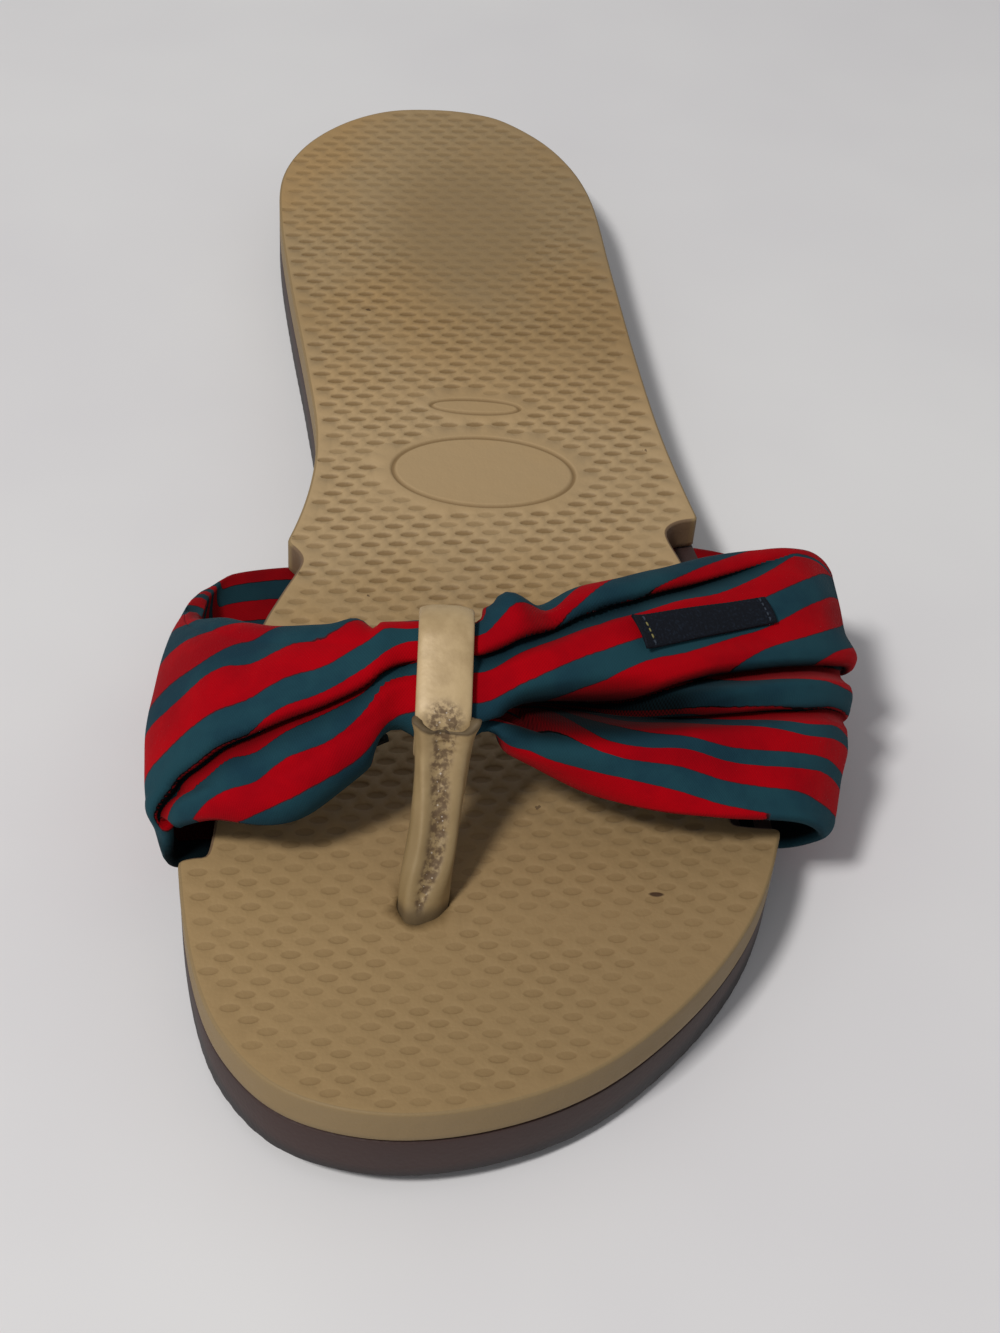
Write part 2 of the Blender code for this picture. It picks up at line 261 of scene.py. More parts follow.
def fill(loops, chords=()):
    """Triangles that fill the first loop and keep the other loops as edges.

    Gives the filled surface's flat points, the number of the loop point that each one was
    (or -1), and the triangles.
    """
    flat = np.vstack(loops)
    edges = [tuple(chord) for chord in chords]
    start = 0
    for loop in loops:
        count = len(loop)
        edges += [(start + i, start + (i + 1) % count) for i in range(count)]
        start += count
    made, _, faces, was, _, _ = delaunay_2d_cdt(
        [Vector(p) for p in flat], edges, [], 1, 1e-5, True)
    made = np.array([tuple(p) for p in made])
    origin = np.array([ids[0] if ids else -1 for ids in was])
    faces = np.array(faces)
    faces = faces[inside(made[faces].mean(axis=1), loops[0])]
    a, b, c = np.moveaxis(made[faces], 1, 0)
    turns_left = np.cross(b - a, c - a) > 0
    faces[~turns_left] = faces[~turns_left][:, ::-1]
    return made, origin, faces


# %% [markdown]
# ## The footbed
#
# The footbed is moulded rubber, cut to the sole's outline with a bite out of each side for
# the band. A cushioning grain is pressed into its top: short lens-shaped dents in staggered
# rows, worn nearly smooth under the heel. A broad oval and a small slim one are outlined in
# the waist of the sole, where the grain stops.
#
# The grain could be a bump in the material, but the dents are three millimetres long and
# cast their own light and shade, so they are real. A triangulation that respects edges (a
# constrained Delaunay fill) takes the outline, the rings of every dent and the two marks,
# and returns one unbroken skin whose points are then pushed down where the dents are.

# %% The bites, each from the tip of the horn behind it to the corner in front of it
INNER_BITE = [
    # x, y
    (-21.0, -14.9), (-18.8, -17.4), (-18.2, -20.2), (-21.2, -28.4), (-24.0, -38.0),
    (-26.4, -58.0), (-27.4, -82.6), (-29.0, -84.6), (-31.9, -85.6),
]
OUTER_BITE = [
    # x, y
    (49.7, -4.1), (46.2, -4.9), (43.9, -7.2), (44.4, -10.6), (46.8, -18.0),
    (50.0, -36.0), (51.0, -56.0), (49.9, -72.6), (51.6, -74.3), (57.6, -74.6),
]
OUTLINE_ROW = {"inner front": 14, "outer front": 23, "outer back": 27, "inner back": 10}
BITE_POINTS = 6  # for each row of a bite's table
EDGE_SPACING, EDGE_SOFTER = 0.8, 2  # between points of the edge, and how often it is softened


def footbed_outline():
    def bite(points):
        return smooth(points, np.linspace(0, len(points) - 1, BITE_POINTS * len(points)))

    rows = len(SOLE_OUTLINE)
    front = outline(OUTLINE_ROW["inner front"], OUTLINE_ROW["outer front"])
    back = outline(OUTLINE_ROW["outer back"], rows + OUTLINE_ROW["inner back"])
    loop = np.vstack([front[1:-1], bite(OUTER_BITE)[::-1], back[1:-1], bite(INNER_BITE)])
    return soften(resample(loop, EDGE_SPACING), EDGE_SOFTER)


# %% Where the grain lies, and where it is worn
GRAIN_STEPS = ((4.62, 0.52), (1.90, 2.50))  # from one dent to the next in its row, and next row
GRAIN_ROWS, GRAIN_PLACES = 56, 60  # counted both ways from the middle, enough for any foot
GRAIN_MARGIN = 1.2
OVAL_CENTRE, OVAL_HALF = (12.2, 6.3), (16.5, 9.95)
SLIM_OVAL_CENTRE, SLIM_OVAL_HALF = (10.6, 24.7), (8.6, 2.6)
TOE_HOLE_CENTRE, TOE_HOLE_HALF, TOE_HOLE_BACK = (4.0, -92.0), (3.8, 3.9), 2.7
BARE_PLACES = [
    # centre, half size, margin kept free of grain
    (OVAL_CENTRE, OVAL_HALF, (2.3, 1.4)),
    (SLIM_OVAL_CENTRE, SLIM_OVAL_HALF, (2.2, 1.6)),
    (TOE_HOLE_CENTRE, TOE_HOLE_HALF, (1.6, 0.9)),
]
WORN_PLACES = [
    # centre, half size, shares of it where the wear is full and where it ends, how worn
    ((9.0, 82.0), (21.0, 33.0), 0.35, 1.15, 0.9),  # heel
    ((14.0, -62.0), (30.0, 26.0), 0.3, 1.1, 0.35),  # ball of the foot
]


def reach(points, centre, half):
    """How far points are from a centre, where 1 is the edge of the oval."""
    return np.linalg.norm((points - np.array(centre)) / np.array(half), axis=1)


def worn(points):
    """How smooth the grain has been rubbed, from 0 to 1."""
    places = [share * (1 - step_up(reach(points, centre, half), full, none))
              for centre, half, full, none, share in WORN_PLACES]
    return np.max(places, axis=0)


def grain_centres(border):
    across, back = np.array(GRAIN_STEPS)
    rows = np.arange(-GRAIN_ROWS, GRAIN_ROWS + 1)
    row, place = np.meshgrid(rows, np.arange(-GRAIN_PLACES, GRAIN_PLACES + 1), indexing="ij")
    spots = (place[..., None] * across + row[..., None] * back).reshape(-1, 2)
    spots = spots[inside(spots, border)]
    gap = np.array([np.linalg.norm(border - spot, axis=1).min() for spot in spots])
    keep = gap > GRAIN_MARGIN
    for centre, half, margin in BARE_PLACES:
        keep &= reach(spots, centre, np.array(half) + margin) > 1
    return spots[keep]


# %% The grain's dents and the two outlined marks
GRAIN_WAIST = (1.78, 0.76, 0.40)  # half the length, half the width and the depth of a dent
GRAIN_TOE = (1.62, 0.84, 0.08)
GRAIN_TURN = 0.112  # radians that a dent is turned, along its row
GRAIN_FULLNESS = 1.05  # an ellipse has 1, and more makes the ends keener
GRAIN_TOE_FROM, GRAIN_TOE_TO = -55.0, -85.0
GRAIN_RINGS = [
    # size, share of the depth, share of the dirt and painted shade, the same under the toes, corners
    (1.0, 0.0, 0.0, 0.0, 10), (0.84, 0.8, 0.9, 0.62, 10), (0.50, 1.0, 1.0, 0.42, 6),
]
GRAIN_EVEN, GRAIN_UNEVEN, GRAIN_SINGLE = 0.8, 0.9, 0.5  # shares of a dent that wear leaves
GRAIN_UNEVEN_SIZE = 9.0
GRAIN_SINGLE_AT = 50  # the height in the noise where single dents are read
LEAST_DEPTH, LEAST_DIRT_AND_SHADE = 0.12, 0.2  # what a dent keeps however worn it is
HEEL_SMOOTH, HEEL_SMOOTH_FROM, HEEL_SMOOTH_TO = 0.6, 66.0, 98.0  # the grain fades behind the heel
TOE_SHADE_WAY = -0.5  # painted shade darkens a toe dent most on this side, radians from the outer side
TOE_DARK_ALL_ROUND = 0.85
MARKS = [
    # centre, half size, corners
    (OVAL_CENTRE, OVAL_HALF, 110), (SLIM_OVAL_CENTRE, SLIM_OVAL_HALF, 60),
]
MARK_WIDTH = 1.1
MARK_RINGS = [
    # place across the groove, depth, dirt and painted shade
    (-0.25, 0.0, 0.1), (0.0, 0.0, 0.1), (0.3, 0.38, 1.0), (0.6, 0.38, 1.0), (1.0, 0.0, 0.1),
    (1.25, 0.0, 0.1),
]


def oval(centre, half, count, fullness=1.0, turned=0.0):
    turns = 2 * pi * np.arange(count) / count
    points = np.stack([np.cos(turns), np.sin(turns)], axis=1)
    x, y = (np.sign(points) * np.abs(points) ** fullness * np.array(half)).T
    turned_points = [x * cos(turned) - y * sin(turned), x * sin(turned) + y * cos(turned)]
    return np.array(centre) + np.stack(turned_points, axis=1)


def grain_fade(centres):
    """How much of each dent is left, from 0 to 1."""
    uneven = np.array([noise.noise(Vector((x, y, 0)) / GRAIN_UNEVEN_SIZE) for x, y in centres])
    single = np.array([noise.noise(Vector((x, y, GRAIN_SINGLE_AT))) for x, y in centres])
    left = GRAIN_EVEN + GRAIN_UNEVEN * uneven + GRAIN_SINGLE * single
    left = np.clip((1 - worn(centres)) * left, 0, 1)
    return left * (1 - HEEL_SMOOTH * step_up(centres[:, 1], HEEL_SMOOTH_FROM, HEEL_SMOOTH_TO))


def mark_rings():
    """The rings of the two marks, each with its depth and its dirt and painted shade."""
    for centre, half, corners in MARKS:
        for across, sink, dirt_and_shade in MARK_RINGS:
            yield oval(centre, np.array(half) - MARK_WIDTH * across, corners), sink, dirt_and_shade


def grain_rings(centres):
    """The rings of every dent, each with its depth and its dirt and painted shade."""
    toe = step_up(-centres[:, 1], -GRAIN_TOE_FROM, -GRAIN_TOE_TO)[:, None]
    dents = np.array(GRAIN_WAIST) * (1 - toe) + np.array(GRAIN_TOE) * toe
    for centre, left, by_toe, (*half, depth) in zip(centres, grain_fade(centres), toe[:, 0], dents):
        for size, share, dirt_and_shade_share, toe_dirt_and_shade_share, corners in GRAIN_RINGS:
            turns = 2 * pi * np.arange(corners) / corners
            all_round = TOE_DARK_ALL_ROUND + (1 - TOE_DARK_ALL_ROUND) * np.cos(turns - TOE_SHADE_WAY)
            dirt_and_shade = dirt_and_shade_share + (toe_dirt_and_shade_share * all_round - dirt_and_shade_share) * by_toe
            yield (oval(centre, np.array(half) * size, corners, GRAIN_FULLNESS, GRAIN_TURN),
                   share * depth * (LEAST_DEPTH + (1 - LEAST_DEPTH) * left),
                   dirt_and_shade * (LEAST_DIRT_AND_SHADE + (1 - LEAST_DIRT_AND_SHADE) * left))


# %% The hole for the toe post
# Painted shade: the rim of the toe hole is darkened, and its wall fully.
TOE_HOLE_SIDES, TOE_HOLE_SINK, TOE_HOLE_SHADE = 40, 0.12, 0.6
TOE_HOLE_STOPS = 0.1  # how far above the footbed's underside
TIP_LEAN = 0.28  # how far the tip leans to the inner side
ROUND_SIDE, ROUND_FRONT, KEEN_SIDE, KEEN_TIP = 0.8, 0.85, 1.25, 1.45  # powers: over 1 is keener


def post_section(around, pointed):
    """Shares of the half width and the reach at angles round the post, 0 at the front.

    The sleeve and its hole share this section: a full oval, with its front drawn out to a
    leaning tip where pointed is 1.
    """
    side, front = np.sin(around), np.cos(around)
    round_side = np.sign(side) * np.abs(side) ** ROUND_SIDE
    round_front = np.sign(front) * np.abs(front) ** ROUND_FRONT
    tip = np.abs(front) ** KEEN_TIP
    keen_side = np.sign(side) * np.abs(side) ** KEEN_SIDE - TIP_LEAN * tip
    share = pointed * (front > 0)
    return (round_side + (keen_side - round_side) * share,
            round_front + (tip - round_front) * share)


def toe_hole():
    across, ahead = post_section(2 * pi * np.arange(TOE_HOLE_SIDES) / TOE_HOLE_SIDES, 1.0)
    half_width, half_front = TOE_HOLE_HALF
    y = -ahead * np.where(ahead > 0, half_front, TOE_HOLE_BACK)
    return np.array(TOE_HOLE_CENTRE) + np.stack([across * half_width, y], axis=1)


# %% The footbed itself
RIM_ROUND, RIM_TURNS = 0.5, (18, 36, 54, 72, 90)  # radius of the top edge, and degrees round it
FOOT_ROUND = 0.3
WALL_FROM, WALL_RINGS = 1.2, 4
WEAR_SINK = 0.35  # how far the footbed is pressed down where it is most worn
BITE_STEPS = 80  # points for each row of the outline, to measure how deep a bite goes
BITE_FROM, BITE_FULL = 0.8, 1.6  # depths at which a wall begins to count as cut, and does


def footbed_wall(loop):
    """Rings up the wall and round its rim."""
    low, high = FOOTBED_BOTTOM, FOOTBED_TOP - RIM_ROUND
    levels = [(FOOT_ROUND, low), (0.0, low + FOOT_ROUND)]
    levels += [(0.0, z) for z in np.linspace(low + WALL_FROM, high, WALL_RINGS)]
    levels += [(RIM_ROUND * (1 - cos(turn)), high + RIM_ROUND * sin(turn))
               for turn in np.radians(RIM_TURNS)]
    return [raised(inset(loop, distance), z) for distance, z in levels]


def make_footbed():
    loop = footbed_outline()
    count = len(loop)
    rings = footbed_wall(loop)
    top = rings[-1][:, :2]
    slot = toe_hole()[::-1]
    centres = grain_centres(top)
    drawn = [(top, 0.0, 0.0), (slot, TOE_HOLE_SINK, TOE_HOLE_SHADE)]
    drawn += [*mark_rings(), *grain_rings(centres)]
    flat, origin, faces = fill([ring for ring, _, _ in drawn])
    sink, hollow = (
        np.concatenate([np.zeros(len(ring[0])) + ring[which] for ring in drawn])[origin]
        * (origin >= 0) for which in (1, 2))
    keep = ~inside(flat[faces].mean(axis=1), slot)
    wear = worn(flat)
    z = FOOTBED_TOP - sink - WEAR_SINK * wear + toe_lift(flat[:, 1])

    # The rim's last ring is also the border of the filled top.
    base = len(rings) * count
    index = np.arange(len(flat)) + base
    on_rim = (origin >= 0) & (origin < count)
    index[on_rim] = origin[on_rim] + base - count
    points = np.vstack(rings + [np.column_stack([flat, z])])
    all_faces = ring_faces(count, len(rings))
    all_faces.append(tuple(reversed(range(count))))
    all_faces += index[faces[keep]].tolist()

    # The slot's wall goes down nearly to the footbed's underside.
    sides = TOE_HOLE_SIDES
    hole_top = [index[np.where(origin == count + i)[0][0]] for i in range(sides)]
    hole_low = len(points) + np.arange(sides)
    points = np.vstack([points, raised(slot, FOOTBED_BOTTOM + TOE_HOLE_STOPS)])
    all_faces += [
        (hole_top[(i + 1) % sides], hole_top[i], hole_low[i], hole_low[(i + 1) % sides])
        for i in range(sides)
    ]
    footbed = make_piece("footbed_rubber", points, all_faces, "footbed")
    note_footbed(footbed, loop, base, hollow, wear)
    bm = bmesh.new()
    bm.from_mesh(footbed.data)
    bmesh.ops.delete(bm, geom=[v for v in bm.verts if not v.link_faces], context="VERTS")
    bm.to_mesh(footbed.data)
    bm.free()
    print(len(centres), "dents in the grain")
    return footbed


def note_footbed(footbed, loop, base, hollow, wear):
    """Where the footbed is hollow with dirt and painted shade, worn, a wall, or cut for the band."""
    # The toe hole's wall is darkened fully, as painted shade.
    rim, hole = np.zeros(base), np.ones(TOE_HOLE_SIDES)
    note(footbed, "hollow", np.concatenate([rim, hollow, hole]))
    note(footbed, "wear", np.concatenate([rim, wear, 0 * hole]))
    below_top = base - len(loop)
    on_wall, in_bite = np.zeros((2, len(footbed.data.vertices)))
    on_wall[:below_top] = 1.0
    edge = outline(0, len(SOLE_OUTLINE), BITE_STEPS)
    away = np.array([np.linalg.norm(edge - spot, axis=1).min() for spot in loop])
    cut = step_up(away, BITE_FROM, BITE_FULL)
    in_bite[:below_top] = np.tile(cut, below_top // len(loop))
    note(footbed, "wall", on_wall)
    note(footbed, "bite", in_bite)


footbed = make_footbed()


# %% [markdown]
# ## The outsole
#
# The outsole is a thinner, harder rubber in dark brown. Fine grooves run across the whole
# underside, and where they come out at the edge they leave the small teeth that show under
# the sandal. The wall is a stack of rings. Its two lowest rings rise wherever a groove
# reaches them, and the underside is filled between straight lines that join the two ends of
# every groove, so wall and tread meet exactly. The part itself has a shallow pocket for each
# of the band's tails, and a Boolean is meant to cut both here. It cuts the inner one and
# leaves the outer one uncut, so the outer tail lies inside the rubber: a fault still to mend.
# The top is one many-sided face, which lies too high near the raised toe, inside the footbed.

# %% Sizes of the band, whose tails need the pockets
CLOTH = 1.8
ROLL_RADIUS = 4.6
BAND = [
    # station, back x y z, front x y z (z from the footbed's top), crown, back roll, front roll
    ("inner tail", -10.0, -14.3, -8.3, -19.0, -79.5, -8.3, 0.0, 0.0, 0.0),
    ("inner slot", -20.0, -14.3, -8.3, -28.5, -79.5, -8.3, 0.0, 0.0, 0.0),
    ("inner ledge", -31.5, -18.0, -7.6, -33.8, -79.5, -7.6, 0.0, 0.0, 0.5),
    ("inner side", -34.6, -28.5, -1.6, -36.2, -77.5, -1.0, 1.4, 0.0, 4.5),
    ("inner shoulder", -33.6, -45.0, 7.9, -36.6, -78.0, 5.6, 3.0, 1.0, 6.0),
    ("inner rise", -28.5, -56.0, 17.5, -28.5, -82.0, 12.6, 3.0, 5.0, 5.5),
    ("inner fan", -19.0, -64.0, 23.5, -18.0, -84.0, 16.4, 3.0, 11.0, 8.0),
    ("inner neck", -6.0, -68.0, 28.0, -6.0, -78.8, 22.4, 1.5, 16.0, 14.0),
    ("inner loop", 0.6, -67.0, 28.2, 0.8, -75.0, 23.9, 0.0, 17.0, 17.0),
    ("outer loop", 10.6, -67.0, 28.2, 10.8, -75.0, 23.9, 0.0, 17.0, 17.0),
    ("outer neck", 17.0, -63.5, 29.5, 18.0, -75.5, 21.5, 1.5, 15.0, 14.0),
    ("outer fan", 31.0, -54.5, 26.5, 31.5, -77.2, 16.5, 3.0, 10.0, 8.0),
    ("outer rise", 47.0, -42.5, 22.5, 46.0, -78.4, 12.5, 3.0, 5.0, 4.0),
    ("outer shoulder", 63.4, -31.8, 16.8, 60.0, -77.0, 6.8, 3.0, 1.0, 1.0),
    ("outer side", 68.8, -26.5, 6.2, 66.2, -71.4, -1.2, 1.8, 0.0, 3.6),
    ("outer ledge", 57.5, -7.0, -7.4, 61.0, -70.2, -7.6, 0.0, 0.0, 1.6),
    ("outer slot", 45.5, -4.0, -8.3, 53.0, -71.0, -8.3, 0.0, 0.0, 0.0),
    ("outer tail", 35.5, -4.0, -8.3, 43.0, -71.0, -8.3, 0.0, 0.0, 0.0),
]
BAND_SIZES = np.array([row[1:] for row in BAND])
LAST_STATION = len(BAND) - 1

# %% Outsole
TREAD_PITCH = 2.7
TREAD_DEPTH = 0.8
EDGE_TREAD = 0.3  # share of a groove's depth that shows at the wall
EDGE_TREAD_FADE = 1.5  # power by which it fades round the toe and heel
TREAD_PLACES = (0.0, 0.30, 0.44, 0.86)  # where a groove's floor begins and ends, and its land
OUTLINE_FINE, WALL_SPACING = 12, 1.1
LOW_WALL = [
    # how far in from the outline, height above the tread
    (0.55, 0.0), (0.1, 0.45),
]
HIGH_WALL = [
    # how far in from the outline, height
    (0.0, 1.9), (0.0, 4.5), (0.0, OUTSOLE_TOP - 0.5), (0.1, OUTSOLE_TOP - 0.15), (0.4, OUTSOLE_TOP),
]
POCKET_DEPTH, POCKET_SIDE, POCKET_REACH, POCKET_TALL = 2.5, 1.0, 45.0, 8.0
TAILS = [
    # name, its row of the band, which side it leaves by
    ("inner", 0, -1), ("outer", LAST_STATION, 1),
]


def tread(y):
    """How far the underside is cut away at a place along the sole."""
    phase = (np.asarray(y, float) / TREAD_PITCH) % 1
    a, b, c, d = TREAD_PLACES
    return TREAD_DEPTH * np.interp(phase, [a, b, c, d, 1], [1, 1, 0, 0, 1])


def with_crossings(loop, levels):
    """An outline with a point added wherever it crosses one of these places along the sole."""
    made = []
    for a, b in zip(loop, np.roll(loop, -1, axis=0)):
        made.append(tuple(a))
        crossed = levels[(levels > min(a[1], b[1]) + 1e-4) & (levels < max(a[1], b[1]) - 1e-4)]
        for y in sorted(crossed, reverse=bool(a[1] > b[1])):
            t = (y - a[1]) / (b[1] - a[1])
            made.append((a[0] + (b[0] - a[0]) * t, y))
    return np.array(made)


def make_outsole():
    loop = resample(outline(0, len(SOLE_OUTLINE), OUTLINE_FINE)[:-1], WALL_SPACING)
    toe, heel = loop[:, 1].min(), loop[:, 1].max()
    cycles = np.arange(np.floor(toe / TREAD_PITCH), np.ceil(heel / TREAD_PITCH))
    levels = np.concatenate([(cycles + place) * TREAD_PITCH for place in TREAD_PLACES])
    loop = with_crossings(loop, levels)
    count = len(loop)
    along = unit(np.roll(loop, -1, axis=0) - np.roll(loop, 1, axis=0))
    cut = tread(loop[:, 1]) * EDGE_TREAD * np.abs(along[:, 1]) ** EDGE_TREAD_FADE
    lifted = cut + toe_lift(loop[:, 1])
    rings = [np.column_stack([inset(loop, distance), z + lifted]) for distance, z in LOW_WALL]
    rings += [raised(inset(loop, distance), z) for distance, z in HIGH_WALL]
    chords = []
    for level in levels:
        at = np.where(np.abs(loop[:, 1] - level) < 1e-6)[0]
        at = at[np.argsort(loop[at, 0])]
        chords += [(at[0], at[-1])] if len(at) > 1 else []
    flat, origin, faces = fill([rings[0][:, :2]], chords)
    z = tread(flat[:, 1]) + toe_lift(flat[:, 1])
    z = np.where(origin >= 0, rings[0][:, 2][origin], z)
    extra = np.where(origin < 0)[0]
    index = origin.copy()
    index[extra] = len(rings) * count + np.arange(len(extra))
    points = np.vstack(rings + [np.column_stack([flat, z])[extra]])
    all_faces = ring_faces(count, len(rings))
    all_faces += index[faces[:, ::-1]].tolist()
    all_faces.append(tuple(range((len(rings) - 1) * count, len(rings) * count)))
    outsole = make_piece("outsole_rubber", points, all_faces, "outsole")
    for name, station, side in TAILS:
        cut_pocket(outsole, name, station, side)
    return outsole


def cut_pocket(outsole, name, station, side):
    """Cuts away the room for a tail of the band, out through the sole's side."""
    back, front = BAND_SIZES[station, 0:2], BAND_SIZES[station, 3:5]
    corners = [back + (0, POCKET_SIDE), front - (0, POCKET_SIDE)]
    corners += [corner + (side * POCKET_REACH, 0) for corner in corners[::-1]]
    mesh = bpy.data.meshes.new(f"{name}_pocket")
    bm = bmesh.new()
    floor = OUTSOLE_TOP - POCKET_DEPTH
    face = bm.faces.new([bm.verts.new(in_model((*corner, floor))) for corner in corners])
    lifted = bmesh.ops.extrude_face_region(bm, geom=[face])
    moved = [part for part in lifted["geom"] if isinstance(part, bmesh.types.BMVert)]
    bmesh.ops.translate(bm, vec=(0, 0, POCKET_TALL * MM), verts=moved)
    bmesh.ops.recalc_face_normals(bm, faces=bm.faces)
    bm.to_mesh(mesh)
    bm.free()
    cutter = bpy.data.objects.new(mesh.name, mesh)
    bpy.context.scene.collection.objects.link(cutter)
    cut = outsole.modifiers.new("pocket", "BOOLEAN")
    cut.operation, cut.solver, cut.object = "DIFFERENCE", "EXACT", cutter
    graph = bpy.context.evaluated_depsgraph_get()
    made = bpy.data.meshes.new_from_object(outsole.evaluated_get(graph))
    outsole.modifiers.clear()
    outsole.data = made
    made.shade_smooth()
    bpy.data.objects.remove(cutter, do_unlink=True)


outsole = make_outsole()
outsole.data.set_sharp_from_angle(angle=radians(40))


# %% [markdown]
# ## The band
#
# The band is a tube of striped stretch cloth, pressed flat into a double layer, that climbs
# out of the sole at one side, is gathered in the loop, and fans out again to the other side.
# Its shape is a table of stations: for each one, where the middle of the band passes into
# its two rolled edges, how far it bulges, and how much cloth is rolled under.
#
# Cloth simulation finds natural folds, but never the folds of one certain band. Here each
# main fold is a line on the band, in stations along it and shares across it, with its own
# depth and width, and a short profile says how the cloth on its back side laps over the
# cloth in front. The mesh is a fine grid over the band, so the folds are real.

# %% The unfolded band
ROW_SPACING = 0.92
COLUMNS = 150
STATION_STEP, ACROSS_STEP = 0.02, 0.004  # small steps, to measure which way the band runs
FINE_STATIONS = 3000


def band_point(station, across):
    """Points on the band's outer face: station along it, across from 0 (back) to 1 (front)."""
    station, across = np.broadcast_arrays(np.asarray(station, float), np.asarray(across, float))
    row = smooth(BAND_SIZES, station)

    def middle(at):
        there = smooth(BAND_SIZES, np.clip(at, 0, LAST_STATION))
        return (there[..., 0:3] + there[..., 3:6]) / 2

    back, front = row[..., 0:3], row[..., 3:6]
    crown, back_roll, front_roll = row[..., 6], row[..., 7], row[..., 8]
    along = unit(middle(station + STATION_STEP) - middle(station - STATION_STEP))
    width = np.linalg.norm(front - back, axis=-1)
    over = unit(front - back)
    out = unit(np.cross(over, along))
    back_roll, front_roll = np.maximum(back_roll, 0), np.maximum(front_roll, 0)
    travelled = across * (back_roll + width + front_roll)
    t = np.clip((travelled - back_roll) / width, 0, 1)
    point = back + (front - back) * t[..., None] + out * (4 * crown * t * (1 - t))[..., None]
    for length, way in (
        (np.maximum(back_roll - travelled, 0), -1),
        (np.maximum(travelled - back_roll - width, 0), 1),
    ):
        turn = np.minimum(length / ROLL_RADIUS, pi)
        straight = np.maximum(length - pi * ROLL_RADIUS, 0)
        sideways = np.sin(turn) * ROLL_RADIUS - straight
        down = (1 - np.cos(turn)) * ROLL_RADIUS
        point = point + way * over * sideways[..., None] - out * down[..., None]
    return point + (0, 0, FOOTBED_TOP)


def band_normal(station, across):
    """Which way the band's outer face looks."""
    ahead = np.minimum(across + ACROSS_STEP, 1)
    behind = np.maximum(across - ACROSS_STEP, 0)
    over = band_point(station, ahead) - band_point(station, behind)
    later = np.clip(station + STATION_STEP, 0, LAST_STATION)
    sooner = np.clip(station - STATION_STEP, 0, LAST_STATION)
    along = band_point(later, across) - band_point(sooner, across)
    return unit(np.cross(over, along))


def band_width(station):
    """How much cloth there is across the band, rolls and all."""
    row = smooth(BAND_SIZES, station)
    flat = np.linalg.norm(row[..., 3:6] - row[..., 0:3], axis=-1)
    return flat + np.maximum(row[..., 7], 0) + np.maximum(row[..., 8], 0)


def band_stations():
    """Stations that lie evenly along the middle of the band."""
    fine = np.linspace(0, LAST_STATION, FINE_STATIONS)
    steps = np.linalg.norm(np.diff(band_point(fine, 0.5), axis=0), axis=1)
    travelled = np.concatenate([[0], np.cumsum(steps)])
    places = np.linspace(0, travelled[-1], int(travelled[-1] / ROW_SPACING))
    return np.interp(places, travelled, fine), places


# %% The folds, as lines on the band
FOLDS = {
    "inner fold": [
        # station, across, depth, half-width
        (3.4, 1.02, 0.0, 4.0), (3.8, 0.975, 1.2, 4.0), (4.2, 0.912, 2.0, 4.0),
        (4.6, 0.823, 2.4, 4.2), (5.0, 0.77, 2.6, 4.4), (5.4, 0.695, 2.8, 4.6),
        (5.8, 0.645, 2.8, 4.6), (6.2, 0.605, 2.8, 4.4), (6.6, 0.577, 2.8, 4.2),
        (7.0, 0.54, 2.6, 4.0), (7.4, 0.49, 2.4, 3.6), (8.0, 0.462, 1.4, 3.2),
        (8.4, 0.46, 0.0, 3.0),
    ],
    "upper fold": [
        (8.5, 0.44, 0.0, 2.6), (8.8, 0.432, 1.8, 2.8), (9.2, 0.418, 2.6, 3.2),
        (10.0, 0.385, 2.8, 3.6), (10.8, 0.265, 2.6, 3.8), (11.2, 0.22, 2.4, 3.6),
        (11.6, 0.172, 2.2, 3.6), (12.0, 0.128, 1.6, 3.4), (12.4, 0.075, 0.9, 3.2),
        (12.8, 0.03, 0.0, 3.0),
    ],
    "middle fold": [
        (8.5, 0.70, 0.0, 3.0), (8.9, 0.68, 2.0, 3.4), (9.5, 0.65, 3.2, 4.0),
        (10.0, 0.625, 4.4, 4.6), (10.4, 0.61, 5.0, 5.0), (10.8, 0.602, 5.0, 5.0),
        (11.2, 0.588, 5.0, 5.0), (11.6, 0.548, 4.8, 4.8), (12.0, 0.513, 4.4, 4.6),
        (12.4, 0.497, 3.8, 4.4), (12.8, 0.478, 3.4, 4.2), (13.2, 0.445, 3.0, 4.0),
        (13.6, 0.388, 2.4, 3.8), (14.1, 0.36, 1.2, 3.4), (14.6, 0.34, 0.0, 3.0),
    ],
    "lower fold": [
        (10.2, 0.665, 0.0, 2.4), (10.8, 0.667, 1.2, 2.4), (11.4, 0.667, 2.2, 2.6),
        (12.0, 0.662, 2.6, 2.8), (12.8, 0.646, 2.2, 2.6), (13.2, 0.612, 1.6, 2.6),
        (13.6, 0.575, 1.0, 2.4), (14.3, 0.54, 0.0, 2.2),
    ],
}
FOLD_PROFILE = [
    # place across the fold, where it is carried, height (shares of half-width and depth), shade
    (-1.0, -1.0, 0.0, 0.0), (-0.6, -0.5, 0.12, 0.0), (-0.3, -0.12, 0.05, 0.1),
    (-0.08, 0.05, -0.3, 0.7), (0.0, 0.0, -0.5, 1.0), (0.12, -0.15, -0.72, 1.0),
    (0.3, -0.1, -0.95, 0.9), (0.55, 0.35, -0.7, 0.35), (1.0, 1.0, 0.0, 0.0),
]
FULL_LAP = 1.6  # depth from which a fold laps over fully
HOLLOW_SHADE, HOLLOW_DARK = 1.4, 3.0  # how much wider its shade is, and the fall that is darkest
UNDER_END = (2.4, 3.2)  # stations where the painted shade on the front hem of the inner end begins to fade
UNDER_HEM = (0.86, 0.97)  # shares across where that painted shade begins, and where it is full
